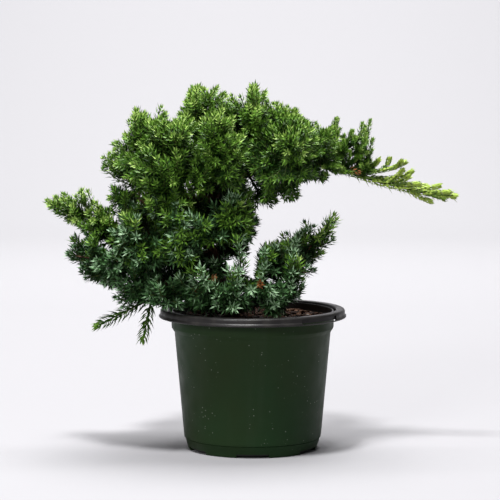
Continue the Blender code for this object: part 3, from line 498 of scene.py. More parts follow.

# How far a needle's level moves up its ladder when young and down it when old, partly the paler young
# growth and partly painted shade deep in a shoot, up on a high shoot as painted light on the crown's top,
# and up and down from whorl to whorl on the long branch as painted light and shade of overlapping scale
# leaves, by how much shoots differ, and the middle of the crown, from which a shoot is high or low
YOUNG_STEP = 0.4
OLD_STEP = 1.6
HIGH_STEP = 0.3
WHORL_LIGHT_STEP = 0.9
LEVEL_CHANCE = 0.4
CROWN_MIDDLE = np.array([-20, 0, 205]) * MM

# Needles: how many there are in a whorl and its turn from the last one, how high the keel stands on the
# width, where the widest place is, how much lengths, leans and turns differ, the share of a twig's foot
# that is bare, and the bud at its end
NEEDLE_SEED = 23
WHORL = 3
WHORL_TURN = math.radians(68)
KEEL_SHARE = 0.3
NEEDLE_MIDDLE = 0.42
LENGTH_CHANCE = (0.82, 1.12)
LEAN_CHANCE = math.radians(4)
TURN_CHANCE = math.radians(7)
BARE_SHARE = 0.05
BUD_NEEDLES = 5
BUD_LEAN = 14
BUD_SHARE = 0.8
MOST_FACES = 190000

# Light that reaches a needle past the others: the size of a cell, how many cells away and in how many
# directions it looks, from how far below level, and what each needle in the way takes. Above the middle
# share of light a needle is paler and below it darker, and below the last share there is none
LIGHT_CELL = 4 * MM
LIGHT_CELLS = 8
LIGHT_WAYS = 24
LIGHT_LOW = -0.5
LIGHT_LOSS = 0.07
LIGHT_STEP = 4.5
LIGHT_MIDDLE = 0.3
SHADE_END = 0.04

# Colours
NEEDLE_COLOURS = {
    "dark": (0.007, 0.024, 0.003),
    "deep": (0.017, 0.054, 0.006),
    "mid": (0.048, 0.118, 0.011),
    "fresh": (0.094, 0.196, 0.022),
    "bright": (0.255, 0.375, 0.085),
    "deep_blue": (0.011, 0.034, 0.008),
    "blue": (0.028, 0.075, 0.020),
    "pale_blue": (0.068, 0.152, 0.055),
    "frost": (0.240, 0.370, 0.215),
    "olive": (0.080, 0.142, 0.014),
    "lime": (0.235, 0.325, 0.048),
    "pale_lime": (0.410, 0.500, 0.160),
    "brown": (0.180, 0.070, 0.022),
}
TWIG_BROWN = (0.085, 0.045, 0.025)
TWIG_GREEN = (0.050, 0.075, 0.014)
# The floor near the plant and further back
FLOOR_NEAR = (0.266, 0.262, 0.273)
FLOOR_FAR = (0.300, 0.296, 0.308)


def unit(vectors):
    """Vectors scaled to length 1."""
    lengths = np.linalg.norm(vectors, axis=-1, keepdims=True)
    return vectors / np.maximum(lengths, 1e-9)


def dots(one, two):
    """The products of vectors in pairs, with a last axis of 1."""
    return (one * two).sum(-1, keepdims=True)


def smooth(share):
    """0 to 1 with soft ends."""
    share = np.clip(share, 0, 1)
    return share * share * (3 - 2 * share)


def mixed(one, two, share):
    """A value between two, at a share of the way."""
    return one + (two - one) * share


def smooth_line(points, steps):
    """Points along a smooth curve through the given ones."""
    points = np.asarray(points, float)
    ends = np.vstack([2 * points[0] - points[1], points, 2 * points[-1] - points[-2]])
    t = (np.arange(steps) / steps)[:, None]
    spans = []
    for a, b, c, d in zip(ends, ends[1:], ends[2:], ends[3:]):
        bend, twist = 2 * a - 5 * b + 4 * c - d, 3 * b - a - 3 * c + d
        spans.append(0.5 * (2 * b + (c - a) * t + bend * t**2 + twist * t**3))
    return np.vstack([*spans, points[-1:]])


def spaced(line, step):
    """A line's points moved to be about a step apart."""
    lengths = np.r_[0, np.cumsum(np.linalg.norm(np.diff(line, axis=0), axis=1))]
    count = max(3, int(round(lengths[-1] / step)) + 1)
    places = np.linspace(0, lengths[-1], count)
    return np.stack([np.interp(places, lengths, line[:, k]) for k in range(3)], axis=1)


def along(line, share):
    """The point at a share of a line's number of points."""
    place = share * (len(line) - 1)
    i = min(int(place), len(line) - 2)
    return mixed(line[i], line[i + 1], place - i)


def frames(lines):
    """The direction and two side axes at each point of many lines, carried along without twisting."""
    ways = unit(np.gradient(lines, axis=-2))
    side = np.cross(ways[..., 0, :], ODD_WAY)
    sides = []
    for k in range(lines.shape[-2]):
        way = ways[..., k, :]
        side = unit(side - way * dots(side, way))
        sides.append(side)
    sides = np.stack(sides, axis=-2)
    return ways, sides, np.cross(ways, sides)


def add_piece(name, mesh, made_of, nodes=()):
    """Puts a mesh in the scene as a piece that rides on the plant and stands for some nodes."""
    mesh.materials.append(made_of)
    obj = bpy.data.objects.new(name, mesh)
    bpy.context.scene.collection.objects.link(obj)
    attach(obj, "root")
    if nodes:
        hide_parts(*nodes)
    return obj


def mesh_from_arrays(name, points, faces):
    """A mesh from an array of points and one of faces that all have the same number of corners."""
    mesh = bpy.data.meshes.new(name)
    mesh.vertices.add(len(points))
    mesh.vertices.foreach_set("co", points.astype(np.float32).ravel())
    mesh.loops.add(faces.size)
    mesh.loops.foreach_set("vertex_index", faces.astype(np.int32).ravel())
    mesh.polygons.add(len(faces))
    mesh.polygons.foreach_set("loop_start", np.arange(0, faces.size, faces.shape[1], dtype=np.int32))
    mesh.update()
    mesh.validate()
    return mesh


def mesh_from_bmesh(name, bm, smooth_shaded=True):
    """A mesh from a bmesh, which is used up, with its sharp edges kept if it is smooth."""
    mesh = bpy.data.meshes.new(name)
    bmesh.ops.recalc_face_normals(bm, faces=bm.faces)
    bm.to_mesh(mesh)
    bm.free()
    if smooth_shaded:
        mesh.shade_smooth()
        mesh.set_sharp_from_angle(angle=SHARP)
    return mesh


class Shader:
    """A material and short ways to add nodes to it."""

    def __init__(self, name, colour, roughness, shine=0.25):
        self.material = bpy.data.materials.new(name)
        self.material.use_nodes = True
        self.material.diffuse_color = (*colour, 1)
        self.tree = self.material.node_tree
        self.surface = self.tree.nodes["Principled BSDF"]
        self.surface.inputs["Base Color"].default_value = (*colour, 1)
        self.surface.inputs["Roughness"].default_value = roughness
        self.surface.inputs["Specular IOR Level"].default_value = shine
        coordinates = self.tree.nodes.new("ShaderNodeTexCoord")
        self.place = coordinates.outputs["Object"]

    def node(self, kind, inputs=None, **settings):
        made = self.tree.nodes.new(kind)
        for name, value in settings.items():
            setattr(made, name, value)
        for name, value in (inputs or {}).items():
            if isinstance(value, bpy.types.NodeSocket):
                self.tree.links.new(value, made.inputs[name])
            else:
                made.inputs[name].default_value = value
        return made

    def stretched(self, scale):
        """Object coordinates stretched by a scale along each axis."""
        return self.node("ShaderNodeMapping", {"Vector": self.place, "Scale": scale}).outputs["Vector"]

    def noise(self, scale, detail=4, place=None):
        """Noise with so many waves to a metre."""
        inputs = {"Vector": place or self.place, "Scale": scale, "Detail": detail}
        return self.node("ShaderNodeTexNoise", inputs).outputs["Fac"]

    def ramp(self, value, stops):
        """Colours or greys dealt out by a value."""
        made = self.node("ShaderNodeValToRGB", {"Fac": value})
        ramp = made.color_ramp
        while len(ramp.elements) < len(stops):
            ramp.elements.new(1)
        for element, (place, colour) in zip(ramp.elements, stops):
            element.position = place
            element.color = (*colour, 1) if isinstance(colour, tuple) else (colour, colour, colour, 1)
        return made.outputs["Color"]

    def mix(self, share, one, two, kind="MIX"):
        made = self.node("ShaderNodeMix", data_type="RGBA", blend_type=kind)
        for socket, value in (("Factor_Float", share), ("A_Color", one), ("B_Color", two)):
            target = next(s for s in made.inputs if s.identifier == socket)
            if isinstance(value, bpy.types.NodeSocket):
                self.tree.links.new(value, target)
            else:
                target.default_value = (*value, 1) if isinstance(value, tuple) else value
        return next(s for s in made.outputs if s.identifier == "Result_Color")

    def set(self, name, value):
        self.tree.links.new(value, self.surface.inputs[name])

    def bump(self, height, distance, strength=1.0):
        inputs = {"Height": height, "Distance": distance, "Strength": strength}
        self.set("Normal", self.node("ShaderNodeBump", inputs).outputs["Normal"])


def green_plastic():
    """Dark green semi-matt plastic, a little mottled and streaked, with specks of dried dirt."""
    shader = Shader("green_plastic", (0.010, 0.027, 0.008), 0.36, 0.08)
    broad = shader.noise(14, 3)
    colour = shader.ramp(broad, [(0.3, (0.014, 0.025, 0.008)), (0.7, (0.011, 0.031, 0.011))])
    streaks = shader.noise(60, 3, shader.stretched((1, 1, 0.08)))
    haze = shader.ramp(streaks, [(0.55, 0.0), (0.8, 0.10)])
    colour = shader.mix(haze, colour, (0.05, 0.06, 0.045))
    cells = shader.node("ShaderNodeTexVoronoi", {"Vector": shader.place, "Scale": 260})
    specks = shader.ramp(cells.outputs["Distance"], [(0.07, 1.0), (0.13, 0.0)])
    patches = shader.ramp(shader.noise(38, 2), [(0.52, 0.0), (0.60, 1.0)])
    dust = shader.mix(1.0, specks, patches, "MULTIPLY")
    colour = shader.mix(shader.mix(1.0, dust, (0.5, 0.5, 0.5), "MULTIPLY"), colour, (0.30, 0.32, 0.27))
    shader.set("Base Color", colour)
    rough = shader.ramp(shader.noise(90, 5), [(0.3, 0.40), (0.7, 0.55)])
    shader.set("Roughness", rough)
    shader.bump(shader.noise(900, 2), 0.00005, 0.5)
    return shader.material


def black_plastic():
    """Black semi-matt plastic, greyed by fine dust and handling."""
    shader = Shader("black_plastic", (0.014, 0.014, 0.015), 0.4)
    dust = shader.ramp(shader.noise(120, 5), [(0.45, 0.0), (0.75, 0.35)])
    shader.set("Base Color", shader.mix(dust, (0.011, 0.010, 0.010), (0.050, 0.046, 0.040)))
    shader.set("Roughness", shader.ramp(shader.noise(70, 4), [(0.3, 0.30), (0.7, 0.5)]))
    shader.bump(shader.noise(700, 3), 0.00008, 0.6)
    return shader.material


def soil_material():
    """Moist dark brown peat with lighter fibres."""
    shader = Shader("soil", (0.030, 0.016, 0.010), 0.95)
    grain = shader.noise(420, 6)
    brown = [(0.3, (0.010, 0.006, 0.004)), (0.55, (0.032, 0.017, 0.010)), (0.75, (0.095, 0.050, 0.028))]
    shader.set("Base Color", shader.ramp(grain, brown))
    shader.bump(shader.noise(600, 6), 0.0012)
    return shader.material


def chip_material():
    """Chips of bark, each in its own brown."""
    shader = Shader("bark_chips", (0.09, 0.04, 0.02), 0.85)
    island = shader.node("ShaderNodeNewGeometry").outputs["Random Per Island"]
    browns = [(0.0, (0.025, 0.012, 0.008)), (0.5, (0.075, 0.032, 0.016)), (1.0, (0.20, 0.10, 0.055))]
    grain = shader.ramp(shader.noise(900, 4), [(0.3, 0.55), (0.7, 1.0)])
    shader.set("Base Color", shader.mix(1.0, shader.ramp(island, browns), grain, "MULTIPLY"))
    shader.bump(shader.noise(1100, 4), 0.0004)
    return shader.material


def grain_material():
    """Chalky white grains, a little uneven."""
    shader = Shader("white_grains", (0.62, 0.61, 0.57), 0.8)
    whites = [(0.3, (0.45, 0.44, 0.40)), (0.7, (0.75, 0.74, 0.70))]
    shader.set("Base Color", shader.ramp(shader.noise(900, 3), whites))
    shader.bump(shader.noise(1500, 3), 0.0004)
    return shader.material


def bark_material():
    """Thin reddish-brown bark that greys and peels in strips."""
    shader = Shader("bark", (0.12, 0.065, 0.04), 0.85)
    strips = shader.noise(420, 6, shader.stretched((1, 1, 0.12)))
    browns = [(0.3, (0.030, 0.014, 0.009)), (0.5, (0.11, 0.050, 0.026)), (0.72, (0.22, 0.15, 0.10))]
    shader.set("Base Color", shader.ramp(strips, browns))
    shader.bump(strips, 0.0012)
    return shader.material


def twig_material(name, colour):
    """A twig's skin, mottled round its colour."""
    shader = Shader(name, colour, 0.7)
    pale = tuple(min(1, 1.6 * part) for part in colour)
    dim = tuple(0.6 * part for part in colour)
    shader.set("Base Color", shader.ramp(shader.noise(700, 4), [(0.35, dim), (0.7, pale)]))
    shader.bump(shader.noise(1200, 3), 0.0003)
    return shader.material


def needle_material(kind):
    """A waxy needle. Its colour is plain, because each spray takes its own kind."""
    shader = Shader("needle_" + kind, NEEDLE_COLOURS[kind], 0.42)
    shader.set("Roughness", shader.ramp(shader.noise(500, 2), [(0.3, 0.36), (0.7, 0.52)]))
    return shader.material


def arc(centre, radius, start, end, steps):
    """Points of a (radius, height) profile round a corner, from one angle in degrees to another."""
    turns = [math.radians(mixed(start, end, i / steps)) for i in range(steps + 1)]
    return [(centre[0] + radius * math.cos(t), centre[1] + radius * math.sin(t)) for t in turns]


def lathe(profile, sides):
    """Turns a profile of (radius, height) about Z. A radius of 0 closes it."""
    bm = bmesh.new()
    rings = []
    for radius, height in profile:
        count = sides if radius > 0 else 1
        turns = [2 * math.pi * i / sides for i in range(count)]
        rings.append([bm.verts.new((radius * math.cos(t), radius * math.sin(t), height)) for t in turns])
    for low, high in zip(rings, rings[1:]):
        for i in range(sides):
            j = (i + 1) % sides
            corners = [low[i % len(low)], low[j % len(low)], high[j % len(high)], high[i % len(high)]]
            corners = list(dict.fromkeys(corners))
            if len(corners) > 2:
                bm.faces.new(corners)
    bmesh.ops.remove_doubles(bm, verts=bm.verts, dist=WELD)
    return bm


def inner_radius(height):
    """The radius of the pot's inner wall at a height."""
    heights = [FLOOR, BODY_FOOT, BODY_TOP, COLLAR_FOOT, LIP_FOOT, POT_HEIGHT]
    outer = [FOOT_RADIUS, BODY_FOOT_RADIUS, BODY_TOP_RADIUS, COLLAR_RADIUS, COLLAR_RADIUS]
    return np.interp(height, heights, [*outer, MOUTH_RADIUS + WALL]) - WALL


def cut(obj, bm):
    """Takes a closed shape away from a piece."""
    mesh = bpy.data.meshes.new("cutter")
    bmesh.ops.recalc_face_normals(bm, faces=bm.faces)
    bm.to_mesh(mesh)
    bm.free()
    cutter = bpy.data.objects.new("cutter", mesh)
    bpy.context.scene.collection.objects.link(cutter)
    modifier = obj.modifiers.new("cut", "BOOLEAN")
    modifier.operation = "DIFFERENCE"
    modifier.object = cutter
    bpy.context.view_layer.update()
    made = bpy.data.meshes.new_from_object(obj.evaluated_get(bpy.context.evaluated_depsgraph_get()))
    obj.modifiers.clear()
    obj.data = made
    obj.data.shade_smooth()
    obj.data.set_sharp_from_angle(angle=SHARP)
    bpy.data.objects.remove(cutter)


def cut_notches(pot):
    """Six shallow notches round the foot."""
    notches = bmesh.new()
    size = Matrix.Diagonal((NOTCH_DEPTH + CUT_PAST, NOTCH_WIDTH, 2 * NOTCH_HEIGHT, 1))
    reach = FOOT_RADIUS + (CUT_PAST - NOTCH_DEPTH) / 2
    for i in range(NOTCHES):
        turn = 2 * math.pi * (i + 0.5) / NOTCHES
        place = Matrix.Rotation(turn, 4, "Z") @ Matrix.Translation((reach, 0, 0)) @ size
        bmesh.ops.create_cube(notches, size=1, matrix=place)
    cut(pot, notches)


def cut_label(rim):
    """The shallow recess for a label in the lip's skirt."""
    bm = bmesh.new()
    corners = [(LIP_TOP_RADIUS - LABEL_DEPTH, LABEL_FOOT), (LIP_RADIUS + CUT_PAST, LABEL_FOOT)]
    corners += [(r, LABEL_TOP) for r, _ in reversed(corners)]
    sections = []
    for i in range(LABEL_STEPS + 1):
        turn = math.radians(mixed(LABEL_FROM, LABEL_TO, i / LABEL_STEPS))
        sections.append([bm.verts.new((r * math.cos(turn), r * math.sin(turn), z)) for r, z in corners])
    for one, two in zip(sections, sections[1:]):
        for k in range(4):
            bm.faces.new([one[k], one[(k + 1) % 4], two[(k + 1) % 4], two[k]])
    bm.faces.new(sections[0])
    bm.faces.new(sections[-1])
    cut(rim, bm)


def make_pot():
    """The green body with its notched foot, and the black lip and lining in one skin."""
    inside = (LIP_FOOT, COLLAR_FOOT, BODY_TOP, BODY_FOOT)
    body = [
        (0, 0),
        *arc((FOOT_RADIUS - FOOT_EDGE, FOOT_EDGE), FOOT_EDGE, -90, 0, ROUND_STEPS),
        (FOOT_TOP_RADIUS, FOOT_TOP - STEP_EDGE),
        (FOOT_TOP_RADIUS - STEP_EDGE, FOOT_TOP),
        (BODY_FOOT_RADIUS - STEP_EDGE, FOOT_TOP + STEP_EDGE),
        (BODY_FOOT_RADIUS, BODY_FOOT),
        (BODY_TOP_RADIUS, BODY_TOP - STEP_EDGE),
        (BODY_TOP_RADIUS + STEP_EDGE, BODY_TOP),
        *arc((COLLAR_RADIUS - MOUTH_EDGE, COLLAR_FOOT), MOUTH_EDGE, *COLLAR_ARC, ROUND_STEPS),
        (COLLAR_RADIUS + STEP_EDGE, LIP_FOOT),
        (COLLAR_RADIUS + LIP_ROOT, POT_HEIGHT - LIP_THICKNESS),
        (COLLAR_RADIUS, POT_HEIGHT - LIP_THICKNESS),
        *[(inner_radius(z), z) for z in (*inside, FLOOR)],
        (0, FLOOR),
    ]
    mesh = mesh_from_bmesh("pot_body", lathe(body, POT_SIDES))
    cut_notches(add_piece("pot_body", mesh, green_plastic(), ["pot"]))
    under = POT_HEIGHT - LIP_THICKNESS
    lip = [
        (COLLAR_RADIUS - WALL, under),
        (LIP_TOP_RADIUS - SKIRT, under),
        (LIP_RADIUS - SKIRT, LIP_FOOT + FOOT_EDGE),
        *arc((LIP_RADIUS - FOOT_EDGE, LIP_FOOT + FOOT_EDGE), FOOT_EDGE, *SKIRT_ARC, ROUND_STEPS),
        (LIP_TOP_RADIUS, LIP_FOOT + SKIRT_BEAD),
        *arc((LIP_TOP_RADIUS - LIP_ROUND, POT_HEIGHT - LIP_ROUND), LIP_ROUND, 0, 90, ROUND_STEPS),
        *arc((MOUTH_RADIUS + MOUTH_EDGE, POT_HEIGHT - MOUTH_EDGE), MOUTH_EDGE, 90, 180, ROUND_STEPS),
        *[(inner_radius(z) - LINING, z) for z in (*inside, FLOOR + LINING)],
        (0, FLOOR + LINING),
        (0, FLOOR + LINING / 2),
        *[(inner_radius(z) - LINING / 2, z) for z in (FLOOR + LINING / 2, *reversed(inside))],
        (COLLAR_RADIUS - WALL, under),
    ]
    mesh = mesh_from_bmesh("pot_lip", lathe(lip, POT_SIDES))
    cut_label(add_piece("pot_lip", mesh, black_plastic()))


def soil_height(x, y):
    """The height of the soil's lumpy surface."""
    broad = noise.noise(Vector((x, y, 0)) / SOIL_LUMP_SIZE)
    fine = noise.noise(Vector((x, y, 9)) * 2 / SOIL_LUMP_SIZE)
    return SOIL_TOP + SOIL_LUMP * (broad + FINE_SHARE * fine)


def add_lump(bm, rng, place, size, flat):
    """A lump with its own lengths, turned at random, standing on the soil."""
    lengths = [size * rng.uniform(*LUMP_LONG), size * rng.uniform(*LUMP_WIDE), size * flat]
    spin = Matrix.Rotation(rng.uniform(0, 2 * math.pi), 4, "Z")
    turned = spin @ Matrix.Rotation(rng.uniform(-LUMP_TILT, LUMP_TILT), 4, "X")
    made = bmesh.ops.create_icosphere(bm, subdivisions=1, radius=1)
    for vert in made["verts"]:
        shape = vert.co * rng.uniform(*LUMP_UNEVEN)
        vert.co = turned @ Vector([a * b for a, b in zip(shape, lengths)]) + place


def scatter(name, kind, made_of, radius, rng):
    """A piece of many lumps strewn over the soil."""
    bm = bmesh.new()
    for _ in range(kind.count):
        reach = (radius - SCATTER_ROOM) * math.sqrt(rng.uniform(0, 1))
        turn = rng.uniform(0, 2 * math.pi)
        x, y = reach * math.cos(turn), reach * math.sin(turn)
        size = rng.uniform(*kind.sizes) * MM
        add_lump(bm, rng, Vector((x, y, soil_height(x, y) + LUMP_LIFT * size)), size, kind.flat)
    add_piece(name, mesh_from_bmesh(name, bm, smooth_shaded=False), made_of)


def make_soil():
    radius = float(inner_radius(SOIL_TOP)) - SOIL_ROOM
    bm = bmesh.new()
    rings = []
    for i in range(SOIL_RINGS + 1):
        reach = radius * i / SOIL_RINGS
        ring = []
        for k in range(SOIL_SIDES if i else 1):
            turn = 2 * math.pi * k / SOIL_SIDES
            x, y = reach * math.cos(turn), reach * math.sin(turn)
            ring.append(bm.verts.new((x, y, soil_height(x, y))))
        rings.append(ring)
    for height in (BODY_FOOT, FLOOR + SOIL_ROOM):
        reach = float(inner_radius(height)) - SOIL_ROOM
        turns = [2 * math.pi * k / SOIL_SIDES for k in range(SOIL_SIDES)]
        rings.append([bm.verts.new((reach * math.cos(t), reach * math.sin(t), height)) for t in turns])
    for low, high in zip(rings, rings[1:]):
        for k in range(SOIL_SIDES):
            j = (k + 1) % SOIL_SIDES
            corners = [low[k % len(low)], low[j % len(low)], high[j], high[k]]
            bm.faces.new(list(dict.fromkeys(corners)))
    bm.faces.new(rings[-1])
    add_piece("soil_bed", mesh_from_bmesh("soil_bed", bm), soil_material(), ["soil"])
    rng = np.random.default_rng(SOIL_SEED)
    scatter("soil_chips", CHIPS, chip_material(), radius, rng)
    scatter("soil_grains", GRAINS, grain_material(), radius, rng)


class Limb:
    """The line and radii of a trunk or a bough."""

    def __init__(self, line, foot_radius, tip_radius):
        self.line = line
        self.radii = np.linspace(foot_radius, tip_radius, len(line)) * MM


def make_limbs():
    foot = np.array([0, 0, SOIL_TOP])
    trunk = smooth_line(np.array(TRUNK_LINE) * MM + foot, LIMB_STEPS)
    limbs = {"trunk": Limb(trunk, TRUNK_FOOT_RADIUS, TRUNK_TIP_RADIUS)}
    for name, bough in BOUGHS.items():
        start = along(limbs[bough.limb].line, bough.share)
        tip = np.array(bough.tip) * MM
        middle = (start + tip) / 2 + UP * bough.bow * MM
        line = smooth_line([start, middle, tip], LIMB_STEPS)
        limbs[name] = Limb(line, bough.foot_radius, bough.tip_radius)
    return limbs


def bark_arrays(limb, sides, flare):
    """Points and faces of a limb whose bark stands in ridges that run along it."""
    line = spaced(limb.line, BARK_STEP)
    radii = np.interp(np.linspace(0, 1, len(line)), np.linspace(0, 1, len(limb.radii)), limb.radii)
    ways, side, up = frames(line)
    if flare:
        side[0], up[0] = (1, 0, 0), (0, 1, 0)
    points = []
    for i, (centre, radius) in enumerate(zip(line, radii)):
        far = i * BARK_STEP
        fade = math.exp(-far / FLARE_HEIGHT) if flare else 0
        for k in range(sides):
            turn = 2 * math.pi * k / sides
            place = Vector((RIDGES * math.cos(turn), RIDGES * math.sin(turn), far / RIDGE_LENGTH))
            finer = noise.noise(FINER_RIDGES * place + Vector((7, 0, 0)))
            ridge = noise.noise(place) + FINE_SHARE * finer
            lobes = FLARE * fade * (1 - LOBE_DEPTH * (1 - math.cos(FLARE_LOBES * turn)))
            reach = radius * (1 + RIDGE_HEIGHT * ridge) + lobes
            points.append(centre + reach * (math.cos(turn) * side[i] + math.sin(turn) * up[i]))
    return np.array(points), tube_faces(len(line), sides)


def tube_faces(rings, sides):
    """The faces of an open tube of so many rings."""
    ring = np.arange(rings - 1)[:, None] * sides
    k = np.arange(sides)[None]
    j = (k + 1) % sides
    corners = [ring + k, ring + j, ring + sides + j, ring + sides + k]
    return np.stack(corners, axis=-1).reshape(-1, 4)


def joined(parts):
    """Several (points, faces) pairs as one."""
    starts = np.cumsum([0] + [len(points) for points, _ in parts[:-1]])
    return np.vstack([p for p, _ in parts]), np.vstack([f + s for (_, f), s in zip(parts, starts)])


def add_tubes(name, arrays, made_of, nodes=()):
    """Adds tubes as one smooth piece."""
    mesh = mesh_from_arrays(name, *arrays)
    mesh.shade_smooth()
    add_piece(name, mesh, made_of, nodes)


def make_bark(limbs):
    bark = bark_material()
    add_tubes("trunk_bark", bark_arrays(limbs["trunk"], TRUNK_SIDES, True), bark, ["trunk"])
    parts = [bark_arrays(limbs[name], BOUGH_SIDES, False) for name in BOUGHS]
    add_tubes("bough_bark", joined(parts), bark, list(BOUGHS))


def in_pot(points):
    """Which points are in the pot or its soil, or nearly touch them."""
    radius = np.hypot(points[..., 0], points[..., 1])
    height = points[..., 2]
    above = (height > POT_HEIGHT + POT_ROOM) | (radius > LIP_RADIUS + POT_ROOM)
    wall = radius > inner_radius(np.minimum(height, POT_HEIGHT)) - POT_ROOM
    return np.where(above, height < POT_ROOM, wall | (height < SOIL_TOP + POT_ROOM))


def camera_axes():
    """The camera's place and its forward, right and up directions."""
    place = np.array(CAMERA_PLACE)
    forward = unit(np.array(CAMERA_AIM) - place)
    right = unit(np.cross(forward, UP))
    return place, forward, right, np.cross(right, forward)


def photo_place(points):
    """Where the photograph shows points, in its pixels."""
    place, forward, right, up = camera_axes()
    offsets = points - place
    scale = PHOTO_SIZE * CAMERA_LENS / SENSOR_WIDTH / (offsets @ forward)
    seen = np.stack([offsets @ right, offsets @ -up], axis=-1)
    return PHOTO_SIZE / 2 + seen * scale[..., None]


def from_photo(pixel, level):
    """The point that the photograph shows at a pixel, at a level of Y in millimetres."""
    place, forward, right, up = camera_axes()
    scale = SENSOR_WIDTH / CAMERA_LENS / PHOTO_SIZE
    across, rise = (pixel[0] - PHOTO_SIZE / 2) * scale, (PHOTO_SIZE / 2 - pixel[1]) * scale
    way = forward + across * right + rise * up
    return place + way * (level * MM - place[1]) / way[1]


def depth_in(polygon, points):
    """How far points are inside a polygon, negative where they are outside."""
    a = np.array(polygon, float)
    b = np.roll(a, -1, axis=0)
    edge = b - a
    offsets = points[:, None] - a
    share = np.clip((offsets * edge).sum(-1) / (edge**2).sum(-1), 0, 1)
    near = np.linalg.norm(offsets - share[..., None] * edge, axis=-1).min(1)
    level = points[:, None, 1]
    crosses = (a[:, 1] > level) != (b[:, 1] > level)
    rise = np.where(edge[:, 1] == 0, 1, edge[:, 1])
    crossings = crosses & (points[:, None, 0] < a[:, 0] + edge[:, 0] * (level - a[:, 1]) / rise)
    return np.where(crossings.sum(1) % 2 == 1, near, -near)


def outline_depths():
    """For each pixel, how far it is inside the foliage's outline and clear of its gaps."""
    rows = []
    across = np.arange(PHOTO_SIZE, dtype=float)
    for y in range(PHOTO_SIZE):
        points = np.column_stack([across, np.full(PHOTO_SIZE, float(y))])
        row = depth_in(OUTLINE, points)
        for gap in SKY_GAPS:
            row = np.minimum(row, -depth_in(gap, points))
        rows.append(row)
    return np.array(rows)


# A twig or shoot: its points a step apart, with the direction and side axes there
Twig = namedtuple("Twig", "points ways sides ups mass tone order bound")


